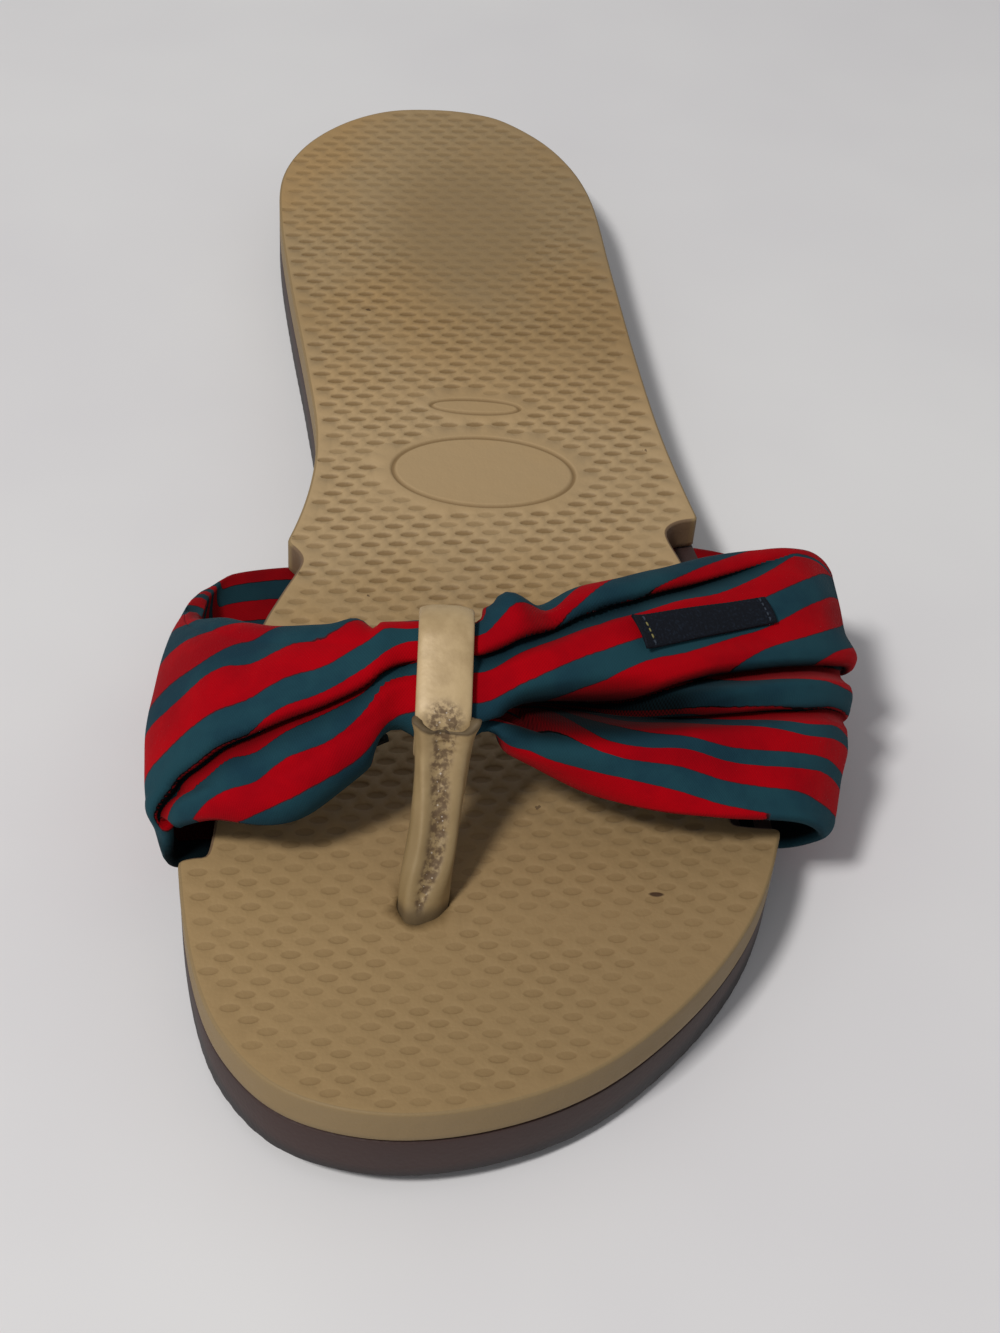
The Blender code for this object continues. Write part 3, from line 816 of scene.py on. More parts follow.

# %% Broad hollows and swells
SWELLS = {
    "dark hollow": [
        # station, across, height, half-width
        (9.2, 0.67, 0.0, 2.2), (9.8, 0.66, -2.4, 2.6), (10.4, 0.655, -4.8, 3.0),
        (10.8, 0.652, -5.4, 3.2), (11.2, 0.65, -4.8, 3.0), (11.6, 0.655, -3.0, 2.6),
        (12.2, 0.66, -1.0, 2.4), (12.8, 0.66, 0.0, 2.4),
    ],
    "pleat": [
        (11.1, 0.62, 0.0, 1.8), (11.7, 0.605, 1.4, 2.2), (12.4, 0.585, 2.0, 2.6),
        (13.2, 0.535, 1.6, 2.6), (14.2, 0.46, 0.0, 2.6),
    ],
    "upper lip": [
        (12.4, 0.42, 0.0, 2.6), (13.0, 0.39, 0.5, 3.0), (13.6, 0.34, 1.5, 3.2),
        (14.0, 0.31, 1.0, 3.2), (14.6, 0.28, 0.0, 3.0),
    ],
    "fan ridge": [
        (9.6, 0.76, 0.0, 3.0), (10.4, 0.76, 1.0, 3.2), (11.4, 0.77, 1.3, 3.4),
        (12.6, 0.75, 1.2, 3.4), (13.6, 0.70, 0.6, 3.2), (14.4, 0.68, 0.0, 3.0),
    ],
    "inner ear": [
        (2.0, 0.03, 0.0, 6.0), (2.7, 0.05, 0.8, 7.0), (3.6, 0.08, 1.4, 7.5),
        (4.2, 0.12, 1.2, 7.0), (4.8, 0.20, 0.6, 6.0), (5.4, 0.26, 0.0, 5.0),
    ],
}
DENTS = [
    # station, across, reach in stations, reach across, height
    (7.75, 0.26, 0.42, 7.0, -0.3), (9.35, 0.22, 0.25, 5.0, 1.6), (9.85, 0.25, 0.22, 6.0, 1.5),
    (10.35, 0.22, 0.22, 6.0, -2.4), (11.3, 0.24, 0.5, 6.0, 0.7), (6.4, 0.33, 0.5, 5.0, 0.8),
    (5.2, 0.45, 0.4, 5.0, 0.6), (12.9, 0.22, 0.5, 7.0, 0.8), (6.7, 0.72, 0.6, 6.0, 0.9),
    (6.78, 0.20, 0.16, 5.0, 0.8), (7.05, 0.22, 0.12, 5.0, -1.0), (7.85, 0.82, 0.35, 7.0, -2.2),
    (9.20, 0.84, 0.40, 7.5, -2.6),
]
RIPPLE, RIPPLE_SIZE = 0.16, 7.0


def folded(station, across, width):
    """How far the folds carry a point across the band, as a share, and how far they lift it."""
    place, carried, height = np.array(FOLD_PROFILE)[:, :3].T
    shift, rise = np.zeros_like(across), np.zeros_like(across)
    for rows in FOLDS.values():
        line, depth, half = np.moveaxis(by_station(rows, station), -1, 0)
        depth = np.maximum(depth, 0)
        t = np.clip((across - line) * width / half, -1, 1)
        lap = np.clip(depth / FULL_LAP, 0, 1)
        shift += lap * (np.interp(t, place, carried) - t) * half / width
        rise += depth * np.interp(t, place, height)
    for rows in SWELLS.values():
        line, most, half = np.moveaxis(by_station(rows, station), -1, 0)
        t = (across + shift - line) * width / half
        rise += most * mound(t)
    for at, line, reach_along, reach_across, most in DENTS:
        rise += most * mound((station - at) / reach_along) * mound(
            (across - line) * width / reach_across)
    return shift, rise


def creased(station, across, width):
    """How much painted shade the cloth takes, 0 to 1: in creases, the dark hollow, under a hem."""
    place, deep = np.array(FOLD_PROFILE)[:, [0, 3]].T
    most = np.zeros_like(across)
    for rows in FOLDS.values():
        line, depth, half = np.moveaxis(by_station(rows, station), -1, 0)
        t = np.clip((across - line) * width / half, -1, 1)
        most = np.maximum(most, np.clip(depth / FULL_LAP, 0, 1) * np.interp(t, place, deep))
    under = step_up(across, *UNDER_HEM) * (1 - step_up(station, *UNDER_END))
    most = np.maximum(most, under)
    line, fall, half = np.moveaxis(by_station(SWELLS["dark hollow"], station), -1, 0)
    t = (across - line) * width / (half * HOLLOW_SHADE)
    return np.maximum(most, np.clip(-fall / HOLLOW_DARK, 0, 1) * mound(t * t))


# %% [markdown]
# ### The stripes
#
# The cloth is striped in red and teal, about five millimetres each. Where it is stretched
# or gathered the stripes swing round, so a plain striped texture would run the wrong way.
# Instead every point of the cloth carries a stripe number: an even whole number and what
# follows it is red, an odd one teal. The numbers come from a chart of where the seams
# between stripes cross the band at a few stations. A fold hides some cloth, so the count
# jumps there, and each side of a fold has its own chart.

# %% Where the seams between stripes lie
SLOT_STRIPES = {"inner": (-1.6, 13.3), "outer": (16.1, 11.8)}  # first number, count across
STRIPE = 4.8
INNER_SEAMS = [
    # station, across at seams 7 to 16
    (3.4, 0.16, 0.36, 0.55, 0.675, 0.86, 1.01, 1.07, 1.15, 1.23, 1.31),
    (3.8, 0.09, 0.30, 0.50, 0.625, 0.81, 0.98, 1.03, 1.10, 1.18, 1.26),
    (4.2, 0.02, 0.24, 0.45, 0.575, 0.755, 0.92, 0.975, 1.06, 1.14, 1.22),
    (4.6, -0.03, 0.165, 0.39, 0.525, 0.70, 0.83, 0.885, 1.02, 1.10, 1.20),
    (5.0, -0.06, 0.13, 0.345, 0.455, 0.63, 0.775, 0.83, 0.945, 1.05, 1.15),
    (5.4, -0.10, 0.09, 0.245, 0.375, 0.565, 0.70, 0.745, 0.87, 1.00, 1.10),
    (5.8, -0.15, 0.02, 0.22, 0.37, 0.52, 0.65, 0.715, 0.815, 0.925, 1.06),
    (6.2, -0.25, -0.08, 0.10, 0.33, 0.46, 0.575, 0.645, 0.74, 0.87, 1.02),
    (6.6, -0.30, -0.18, -0.03, 0.33, 0.44, 0.545, 0.605, 0.705, 0.815, 0.96),
    (7.0, -0.30, -0.18, -0.04, 0.24, 0.375, 0.49, 0.56, 0.635, 0.76, 0.89),
    (7.4, -0.28, -0.14, 0.00, 0.20, 0.33, 0.43, 0.498, 0.54, 0.70, 0.83),
    (8.0, -0.10, 0.05, 0.19, 0.29, 0.34, 0.396, 0.467, 0.51, 0.64, 0.79),
]
BACK_SEAMS = [
    # station, across at seams 11 to 14
    (9.0, 0.29, 0.365, 0.50, 0.60), (10.0, 0.17, 0.288, 0.42, 0.55),
    (10.4, 0.11, 0.232, 0.328, 0.45), (10.8, 0.03, 0.12, 0.195, 0.33),
    (11.2, -0.07, -0.01, 0.06, 0.24), (11.6, -0.15, -0.08, 0.0, 0.15),
    (12.0, -0.20, -0.13, -0.05, 0.075), (12.4, -0.28, -0.20, -0.12, 0.0),
    (12.8, -0.35, -0.27, -0.18, -0.08),
]
MIDDLE_SEAMS = [
    # station, across at seams 16 to 20
    (9.0, 0.498, 0.598, 0.70, 0.80, 0.90), (10.0, 0.435, 0.545, 0.65, 0.75, 0.85),
    (10.8, 0.332, 0.442, 0.553, 0.65, 0.75), (11.2, 0.297, 0.395, 0.49, 0.61, 0.70),
    (11.6, 0.25, 0.345, 0.462, 0.57, 0.66), (12.0, 0.215, 0.31, 0.41, 0.525, 0.62),
    (12.4, 0.135, 0.235, 0.362, 0.44, 0.53), (12.8, 0.03, 0.155, 0.27, 0.383, 0.50),
    (13.2, -0.04, 0.075, 0.185, 0.31, 0.405), (13.6, -0.08, 0.02, 0.115, 0.215, 0.32),
    (14.0, -0.12, -0.03, 0.06, 0.15, 0.25),
]
FRONT_SEAMS = [
    # station, across at seams 21 to 29
    (10.0, 0.63, 0.634, 0.638, 0.642, 0.646, 0.65, 0.70, 0.775, 0.88),
    (10.4, 0.62, 0.626, 0.632, 0.638, 0.645, 0.667, 0.725, 0.82, 0.95),
    (10.8, 0.61, 0.62, 0.63, 0.65, 0.69, 0.75, 0.795, 0.862, 1.01),
    (11.2, 0.598, 0.625, 0.65, 0.685, 0.733, 0.785, 0.825, 0.897, 1.04),
    (11.6, 0.555, 0.645, 0.66, 0.69, 0.757, 0.797, 0.85, 0.93, 1.06),
    (12.0, 0.52, 0.655, 0.67, 0.712, 0.79, 0.832, 0.888, 0.968, 1.09),
    (12.4, 0.552, 0.655, 0.688, 0.73, 0.803, 0.85, 0.913, 0.995, 1.10),
    (12.8, 0.557, 0.65, 0.708, 0.75, 0.805, 0.853, 0.925, 1.02, 1.12),
    (13.2, 0.545, 0.612, 0.68, 0.73, 0.798, 0.845, 0.94, 1.04, 1.13),
    (13.6, 0.50, 0.575, 0.66, 0.705, 0.79, 0.84, 0.935, 1.05, 1.14),
    (14.0, 0.455, 0.54, 0.62, 0.69, 0.77, 0.83, 0.925, 1.04, 1.13),
]
SEAM_CHARTS = {
    # first seam, rows, fold at its back, fold at its front
    "inner": (7, INNER_SEAMS, None, None),
    "back": (11, BACK_SEAMS, None, "upper fold"),
    "middle": (16, MIDDLE_SEAMS, "upper fold", "middle fold"),
    "front": (21, FRONT_SEAMS, "middle fold", None),
}
PLAIN_STRIPES = 11  # even stripes that follow a chart on either side
CHART_MEETS = 8.5  # the inner chart ends under the loop
INNER_BLEND, OUTER_BLEND = (2.0, 3.5), (13.9, 15.2)


def stripe_number(seams, first, across, width):
    """The stripe number at places across one row of the band, from its seams."""
    more = np.arange(1, PLAIN_STRIPES + 1)
    step = STRIPE / width
    knots = np.concatenate([seams[0] - step * more[::-1], seams, seams[-1] + step * more])
    return np.interp(across, knots, first - len(more) + np.arange(len(knots)))


def fold_line(name, station):
    return float(by_station(FOLDS[name], station)[0])


def stripes_across(station, across, seen, width):
    """The stripe numbers of one row: across says which cloth it is, seen where it shows."""
    if station < CHART_MEETS:
        first, rows, _, _ = SEAM_CHARTS["inner"]
        number = stripe_number(by_station(rows, station), first, seen, width)
        slot, blend = SLOT_STRIPES["inner"], 1 - step_up(station, *INNER_BLEND)
    else:
        number = np.zeros_like(seen)
        for first, rows, behind, before in list(SEAM_CHARTS.values())[1:]:
            low = fold_line(behind, station) if behind else -1.0
            high = fold_line(before, station) if before else 2.0
            here = (across >= low) & (across < high)
            where = np.clip(seen, low, high)
            chart = stripe_number(by_station(rows, station), first, where, width)
            number = np.where(here, chart, number)
        slot, blend = SLOT_STRIPES["outer"], step_up(station, *OUTER_BLEND)
    plain = slot[0] + slot[1] * across
    return number * (1 - blend) + plain * blend


# %% The band itself
INNER_EVERY = 2  # the inside of the band has one column for this many outside
HEM_STEPS = 3
LOOSE_FROM, LOOSE_TO = (2.0, 3.0), (14.8, 15.4)  # stations where the cloth comes out of the sole
HELD_FROM, HELD_TO, HELD_IN = (8.0, 8.14), (8.86, 9.0), 0.1  # under the loop it is pressed smooth
SOFT_REACH = (3, 9)  # rows and columns over which the inside smooths the folds
# Painted shade on the hems and on the inside of the band.
HEM_DARK, END_HEM_DARK = 0.3, 0.95
INSIDE_FROM, INSIDE_TO = 0.45, 0.85  # shares across where the painted shade on the inside grows darker
INSIDE_DARK, INSIDE_DARKEST = 0.5, 0.95


def between(station, start, stop):
    """1 along a stretch of the band, with soft ends."""
    return step_up(station, *start) * (1 - step_up(station, *stop))


def lowest_near(rise):
    """A soft surface that stays below every fold."""
    for measure in (np.min, np.mean):
        for axis, span in enumerate(SOFT_REACH):
            border = [(span, span) if a == axis else (0, 0) for a in (0, 1)]
            padded = np.pad(rise, border, "edge")
            windows = np.lib.stride_tricks.sliding_window_view(padded, 2 * span + 1, axis=axis)
            rise = measure(windows, axis=-1)
    return rise


def outer_face(station, across, width):
    """The folded outside of the band, how far it rises, and where each thread shows."""
    shift, rise = folded(station, across, width)
    loose = between(station, LOOSE_FROM, LOOSE_TO)
    held = between(station, HELD_FROM, HELD_TO)
    seen = np.clip(across + shift * loose, 0, 1)
    face = band_point(station, seen)
    ripple = np.array([noise.noise(Vector(p) / RIPPLE_SIZE) for p in face.reshape(-1, 3)])
    rise = rise * loose * (1 - held) - HELD_IN * held
    rise = rise + RIPPLE * ripple.reshape(rise.shape) * loose * (1 - held)
    return face + band_normal(station, seen) * rise[..., None], rise, seen


def inner_face(station, across, rise, columns):
    """The inside of the band, a wall's thickness below the deepest folds."""
    station, across = station[:, columns], across[:, columns]
    depth = lowest_near(np.minimum(rise, 0))[:, columns] - CLOTH
    return band_point(station, across) + band_normal(station, across) * depth[..., None]


def hem(outer, inner, column):
    """A half round edge from the outside to the inside, at the first or the last column."""
    next_column = 1 if column == 0 else column - 1
    top, low = outer[:, column], inner[:, column]
    beyond = unit(top - outer[:, next_column])
    turns = pi * np.arange(1, HEM_STEPS + 1) / (HEM_STEPS + 1)
    middle, half = (top + low) / 2, (top - low) / 2
    radius = np.linalg.norm(half, axis=1)[:, None]
    return np.stack([middle + half * cos(a) + beyond * radius * sin(a) for a in turns], axis=1)


def make_strap():
    stations, travelled = band_stations()
    station, across = np.meshgrid(stations, np.linspace(0, 1, COLUMNS + 1), indexing="ij")
    width = band_width(stations)[:, None]
    columns = np.arange(0, COLUMNS + 1, INNER_EVERY)
    outer, rise, seen = outer_face(station, across, width)
    inner = inner_face(station, across, rise, columns)

    def round_the_band(outside, front, under, back):
        """One closed ring for each station: outside, front hem, inside, back hem."""
        return np.concatenate([outside, front, under[:, ::-1], back], axis=1)

    rings = round_the_band(outer, hem(outer, inner, -1), inner, hem(outer, inner, 0)[:, ::-1])
    count = rings.shape[1]
    faces = tube_faces(count, len(stations))
    strap = make_piece("cloth_band", rings.reshape(-1, 3), faces, "strap")

    each = np.ones((len(stations), HEM_STEPS))
    numbers = np.array([
        stripes_across(s, row, place, w) for s, row, place, w
        in zip(stations, across, seen, width[:, 0])
    ])
    at_end = (1 - step_up(stations, *UNDER_END))[:, None]
    front_dark = HEM_DARK + (END_HEM_DARK - HEM_DARK) * at_end
    ahead = step_up(across[:, columns], INSIDE_FROM, INSIDE_TO)
    carried = {
        "stripe": (numbers, each * numbers[:, [-1]], numbers[:, columns], each * numbers[:, [0]]),
        # Painted shade: in creases and the dark hollow, on the hems, and on the band's inside.
        "painted_shade": (creased(station, across, width) * between(station, LOOSE_FROM, LOOSE_TO),
                   each * front_dark, INSIDE_DARK + (INSIDE_DARKEST - INSIDE_DARK) * ahead,
                   each * HEM_DARK),
        "over": (across * width, each * width, (across * width)[:, columns], each * 0),
    }
    note(strap, "along", np.repeat(travelled, count))
    for name, parts in carried.items():
        note(strap, name, round_the_band(*parts).ravel())
    print("the band is", round(travelled[-1]), "mm long;", len(stations), "rows of", count)
    return strap


strap = make_strap()


# %% [markdown]
# ## The toe post
#
# A strip of pearly tan leather is wrapped once round the gathered band as a loop. Its ends
# meet under the front, go into a leather sleeve with a rough seam down its front, and the
# sleeve runs into a hole between the first two toes. The loop is a rounded-rectangle
# section swept round two centres. The sleeve is a loft: each ring takes its width and depth
# from a table, and a polar function presses the seam's groove into it and turns its upper
# rim out into a ragged collar with two small ears.

# %% Sizes of the toe post
LOOP_WIDTH, LEATHER, LOOP_GAP = 8.0, 1.5, 0.5
LOOP_X = 5.6
LOOP_RINGS, LOOP_SECTION = 170, 44
LOOP_CROWN, LOOP_SIDE, LOOP_FACE = 0.35, 0.55, 0.5  # how domed it is; powers under 1 are squarer
CRACKED_AT, CRACKED_REACH = (5.8, -78.6, FOOTBED_TOP + 24.0), (2.6, 2.6, 3.4)
SLEEVE = [
    # x, y, z from the footbed's top, width, how far it reaches in front and behind
    (3.9, -92.3, -5.6, 7.0, 3.4, 2.2), (3.9, -92.2, -2.4, 7.1, 3.5, 2.3),
    (4.0, -92.0, 0.2, 7.3, 3.6, 2.4), (4.2, -90.2, 3.8, 7.4, 2.9, 2.4),
    (5.0, -85.8, 9.8, 7.1, 2.5, 2.4), (5.6, -81.5, 15.2, 7.5, 2.6, 2.3),
    (5.8, -79.2, 18.6, 8.1, 2.7, 1.9), (5.9, -78.3, 21.4, 8.7, 2.6, 1.5),
    (6.0, -78.0, 23.8, 9.0, 2.3, 1.3),
]
SLEEVE_RINGS, SLEEVE_SIDES = 130, 84
POINTED = (0.26, 0.46)  # shares of the way up where the pointed lower end turns full
SEAM = [
    # share of the way up, how far round from the front (radians, + is the outer side)
    (0.0, 0.10), (0.2, 0.12), (0.35, 0.05), (0.5, 0.10), (0.65, -0.10), (0.8, -0.02), (1.0, 0.0),
]
SEAM_DEPTH, SEAM_REACH, SEAM_OPENS = 0.75, 0.30, (0.2, 0.34)
LOBES = [
    # height, radians from the seam, reach: the leather swells on both sides of the seam
    (0.30, 0.75, 0.35), (0.38, -0.62, 0.25),
]
COLLAR = (0.86, 0.99)
EARS = [
    # height, radians from the front, reach: how the collar turns out
    (0.5, 1.35, 0.30), (0.25, -1.35, 0.22),
]
DIPS = [
    # depth, radians from the front, reach: how far down the collar's edge is cut
    (0.9, 0.05, 0.75), (-0.7, 1.4, 0.28),
]
COLLAR_FLARE = 0.15
COLLAR_RINGS = [
    # share of the way to the middle, how far down: the leather turns in and goes down inside
    (0.12, -0.12), (0.30, 0.25), (0.34, 1.6),
]
RELIEFS = {
    # height, size of its bumps, seed, how much it is squeezed in x, y and z
    "flakes": (0.30, 1.1, 0.0, (1.6, 1, 0.7)), "cracks": (0.35, 2.2, 9.0, (1.8, 1, 0.6)),
    "loop skin": (0.05, 3.0, 4.0, (1, 1, 1)), "sleeve skin": (0.06, 1.7, 7.0, (1, 1, 0.5)),
    "grit": (0.30, 0.8, 3.0, (1, 1, 1)), "coarse grit": (0.25, 2.1, 5.0, (1, 1, 1)),
    "ragged edge": (0.35, 1.3, 11.0, (1, 1, 1)),
}
# The top's cut edge is dark; the foot in the toe hole and the collar's inside are painted shade.
RIM_EDGE, FOOT_EDGE, FOOT_SHADE, INSIDE_EDGE_AND_SHADE = (0.955, 1.0), (0.24, 0.31), 0.8, 0.9
GRIME_FROM, GRIME_TO, GRIME_LEFT = 8.0, 22.0, 0.65  # heights on the sleeve, and the share on top
SLEEVE_LEAN = (0, 1, 0.35)  # roughly the way its back looks


# %% The loop
def loop_centres():
    """The centres of the gathered band's two round edges, in Y and Z, halfway along the loop."""
    middle = BAND_SIZES[8:10, :6].mean(axis=0)
    back, front = middle[1:3], middle[4:6]
    over = unit(front - back)
    inward = np.array([over[1], -over[0]])
    inward = inward if inward[1] < 0 else -inward
    return [point + inward * ROLL_RADIUS + (0, FOOTBED_TOP) for point in (back, front)]


def loop_path(count):
    """Places and outward directions round the loop, in Y and Z, starting at its lower front."""
    back, front = loop_centres()
    lean = np.arctan2(*(back - front)[::-1])
    radius = ROLL_RADIUS + LOOP_GAP
    straight = np.linalg.norm(back - front)
    lengths = np.array([pi * radius, straight, pi * radius, straight])
    places = (np.arange(count) / count * lengths.sum() + 0.25 * lengths[0]) % lengths.sum()
    ends = np.cumsum(lengths)
    centre, angle = np.zeros((count, 2)), np.zeros(count)
    for part in range(4):
        here = (places < ends[part]) & (places >= ends[part] - lengths[part])
        t = (places[here] - ends[part] + lengths[part]) / lengths[part]
        if part % 2 == 0:
            centre[here] = front if part == 0 else back
            angle[here] = lean + pi * (1.5 if part == 0 else 0.5) - pi * t
        else:
            first, last = (front, back) if part == 1 else (back, front)
            centre[here] = first + (last - first) * t[:, None]
            angle[here] = lean + (pi / 2 if part == 1 else -pi / 2)
    return centre, np.stack([np.cos(angle), np.sin(angle)], axis=1)


def relief(name, spot):
    """How high one of the leather's reliefs stands at a point."""
    height, size, seed, stretch = RELIEFS[name]
    return height * noise.noise(Vector(spot * stretch) / size + Vector((seed, 0, 0)))


def make_loop():
    centre, outward = loop_path(LOOP_RINGS)
    turns = 2 * pi * np.arange(LOOP_SECTION) / LOOP_SECTION
    across = np.sign(np.cos(turns)) * np.abs(np.cos(turns)) ** LOOP_SIDE * LOOP_WIDTH / 2
    away = np.sign(np.sin(turns)) * np.abs(np.sin(turns)) ** LOOP_FACE * LEATHER / 2
    radius = ROLL_RADIUS + LOOP_GAP + LEATHER / 2
    crown = LOOP_CROWN * (1 - (2 * across / LOOP_WIDTH) ** 2) * (away > 0)
    points, masks = [], []
    for base, way in zip(centre, outward):
        for x, r, dome in zip(across, away, crown):
            flat = np.array([LOOP_X + x, *(base + way * (radius + r + dome))])
            spread = np.prod(mound((flat - CRACKED_AT) / CRACKED_REACH)) * (r > 0)
            broken = relief("flakes", flat) - abs(relief("cracks", flat))
            lift = spread * broken + relief("loop skin", flat) * (r > 0)
            flat[1:] += way * lift
            points.append(flat)
            masks.append(spread)
    faces = ring_faces(LOOP_SECTION, LOOP_RINGS + 1)
    faces = [tuple(corner % len(points) for corner in face) for face in faces]
    loop = make_piece("leather_loop", np.array(points), faces, "toe_post")
    note(loop, "seam", masks)
    note(loop, "rim", np.zeros(len(points)))
    note(loop, "grime", np.zeros(len(points)))
    return loop


leather_loop = make_loop()


# %% The sleeve
def swell(around, rows):
    """Mounds round the sleeve, from rows of height, angle and reach."""
    return sum(height * mound((around - at) / wide) for height, at, wide in rows)


def make_sleeve():
    shares = np.linspace(0, 1, SLEEVE_RINGS)
    sections = smooth(SLEEVE, shares * (len(SLEEVE) - 1))
    seams = by_station(SEAM, shares)[:, 0]
    path = sections[:, :3] + (0, 0, FOOTBED_TOP)
    tangent = unit(np.gradient(path, axis=0))
    side = unit(np.cross(tangent, SLEEVE_LEAN))
    side *= np.sign(side[:, :1])
    face = np.cross(side, tangent)
    face *= -np.sign(face[:, 1:2] + 1e-9)
    around = 2 * pi * np.arange(SLEEVE_SIDES) / SLEEVE_SIDES
    around = np.where(around > pi, around - 2 * pi, around)
    points, masks, rims = [], [], []
    for share, seam, centre, up, across, out, (width, ahead, behind) in zip(
            shares, seams, path, tangent, side, face, sections[:, 3:]):
        sideways, forward = post_section(around, 1 - step_up(share, *POINTED))
        in_seam = mound((around - seam) / SEAM_REACH) * step_up(share, *SEAM_OPENS)
        collar = step_up(share, *COLLAR)
        swollen = swell(around - seam, LOBES) + collar * (COLLAR_FLARE + swell(around, EARS))
        dip = collar * swell(around, DIPS)
        depth = np.where(forward > 0, ahead, behind)
        for i in range(SLEEVE_SIDES):
            spot = centre + across * (width / 2 * sideways[i]) + out * (depth[i] * forward[i])
            away = unit(across * sideways[i] * depth[i] * 2 + out * forward[i] * width)
            grit = relief("grit", spot) + relief("coarse grit", spot)
            push = swollen[i] + in_seam[i] * (grit - SEAM_DEPTH)
            push += relief("sleeve skin", spot)
            ragged = collar * relief("ragged edge", spot)
            points.append(spot + away * push - up * (dip[i] + ragged))
        masks.append(in_seam)
        # A dark cut edge at the top, and painted shade at the foot, where it goes into the hole.
        edge = step_up(share, *RIM_EDGE) + FOOT_SHADE * (1 - step_up(share, *FOOT_EDGE))
        rims.append(np.full(SLEEVE_SIDES, edge))
    top = np.array(points[-SLEEVE_SIDES:])
    for inwards, down in COLLAR_RINGS:
        points += list(top + (top.mean(axis=0) - top) * inwards - tangent[-1] * down)
        masks.append(in_seam)
        # Painted shade inside the collar, where the leather turns in.
        rims.append(np.full(SLEEVE_SIDES, INSIDE_EDGE_AND_SHADE))
    points = np.array(points)
    faces = tube_faces(SLEEVE_SIDES, SLEEVE_RINGS + len(COLLAR_RINGS))
    sleeve = make_piece("leather_sleeve", points, faces, "toe_post")
    lighter = step_up(points[:, 2], FOOTBED_TOP + GRIME_FROM, FOOTBED_TOP + GRIME_TO)
    note(sleeve, "seam", np.concatenate(masks))
    note(sleeve, "rim", np.concatenate(rims))
    note(sleeve, "grime", 1 + (GRIME_LEFT - 1) * lighter)
    return sleeve


leather_sleeve = make_sleeve()


# %% [markdown]
# ## The woven tab
#
# A small tab of dark ribbed webbing is sewn flat on the outer side of the band. It is
# stiffer than the cloth, so it spans the ripples and stands off a little at its inner end.
# Its place is given by four corners on the band; between them it is a thin closed ribbon,
# ribbed across, held down by a row of small stitches at each end.

# %% The tab
TAB_CORNERS = [
    # station, across
    (11.03, 0.335), (11.15, 0.455), (12.37, 0.245), (12.47, 0.345),
]
TAB_LENGTH_STEPS, TAB_WIDTH_STEPS = 132, 14
TAB_THICKNESS, TAB_LIFT = 0.55, 0.35
TAB_RIB, TAB_RIBS = 0.035, 33
TAB_PROUD, TAB_PROUD_REACH, TAB_CROWN = 0.9, 0.07, 0.25  # its inner end stands off the cloth
SEEN_TRIES = 4  # rounds to find the thread that shows at a place


def on_band(station, seen, lift):
    """A point above the folded band, where the band shows at this place."""
    station, seen = np.broadcast_arrays(np.asarray(station, float), np.asarray(seen, float))
    across = seen
    width = band_width(station)
    for _ in range(SEEN_TRIES):
        across = seen - folded(station, across, width)[0]
    rise = folded(station, across, width)[1] + lift
    return band_point(station, seen) + band_normal(station, seen) * rise[..., None]


def tab_point(along, over, lift):
    """A point over the tab: along it from its inner end, over it from back to front."""
    a, b, c, d = np.array(TAB_CORNERS)
    along, over = along[..., None], over[..., None]
    place = (a * (1 - over) + b * over) * (1 - along) + (c * (1 - over) + d * over) * along
    return on_band(place[..., 0], place[..., 1], lift)


def make_tab():
    along = np.linspace(0, 1, TAB_LENGTH_STEPS)[:, None]
    over = np.linspace(0, 1, TAB_WIDTH_STEPS)[None, :]
    along, over = np.broadcast_arrays(along, over)
    bow = TAB_PROUD * np.exp(-along / TAB_PROUD_REACH) + TAB_CROWN * (1 - (2 * over - 1) ** 2)
    rib = TAB_RIB * np.sin(along * 2 * pi * TAB_RIBS)
    low = tab_point(along, over, TAB_LIFT + bow)
    top = tab_point(along, over, TAB_LIFT + bow + TAB_THICKNESS + rib)
    rings = np.concatenate([top, low[:, ::-1]], axis=1)
    count = rings.shape[1]
    faces = tube_faces(count, TAB_LENGTH_STEPS)
    tab = make_piece("woven_tab", rings.reshape(-1, 3), faces)
    middle = TAB_WIDTH_STEPS // 2
    length = np.linalg.norm(top[0, middle] - top[-1, middle])
    print("the tab is", round(float(length), 1), "mm long")
    return tab


woven_tab = make_tab()


# %% Its stitches
STITCH_RADIUS, STITCH_DIP = 0.17, 0.9
STITCH_SIDES, STITCH_STEPS = 8, 7
STITCH_FIRST, STITCH_PITCH = 0.06, 0.185  # shares of the tab's width
STITCH_ROWS = [
    # along the tab at the start and end, length over it, lift, which of the stitches are olive
    (0.075, 0.078, 0.17, 1.42, (0, 1, 1, 1, 0)), (0.955, 0.955, 0.14, 1.15, (0, 0, 0, 0, 0)),
]


def stitch(start, end, lift):
    """A short thread that dips into the cloth at both ends."""
    rings = []
    for t in np.linspace(0, 1, STITCH_STEPS):
        place = np.array(start) * (1 - t) + np.array(end) * t
        height = lift - STITCH_DIP * abs(2 * t - 1) ** 4
        rings.append(tab_point(np.array(place[0]), np.array(place[1]), height))
    rings = np.array(rings)
    tangent = unit(np.gradient(rings, axis=0))
    side = unit(np.cross(tangent, (0, 0, 1)))
    up = np.cross(side, tangent)
    turns = 2 * pi * np.arange(STITCH_SIDES) / STITCH_SIDES
    return (rings[:, None] + (side[:, None] * np.cos(turns)[None, :, None]
                              + up[:, None] * np.sin(turns)[None, :, None]) * STITCH_RADIUS)


def make_stitches():
    points, faces, colours = [], [], []
    for i in range(len(STITCH_ROWS[0][-1])):
        over = STITCH_FIRST + STITCH_PITCH * i
        for start, end, length, lift, olive in STITCH_ROWS:
            faces += tube_faces(STITCH_SIDES, STITCH_STEPS, len(points))
            points += list(stitch((start, over), (end, over + length), lift).reshape(-1, 3))
            colours += [olive[i]] * (STITCH_SIDES * STITCH_STEPS)
    stitches = make_piece("tab_stitches", np.array(points), faces)
    note(stitches, "olive", colours)
    return stitches


tab_stitches = make_stitches()


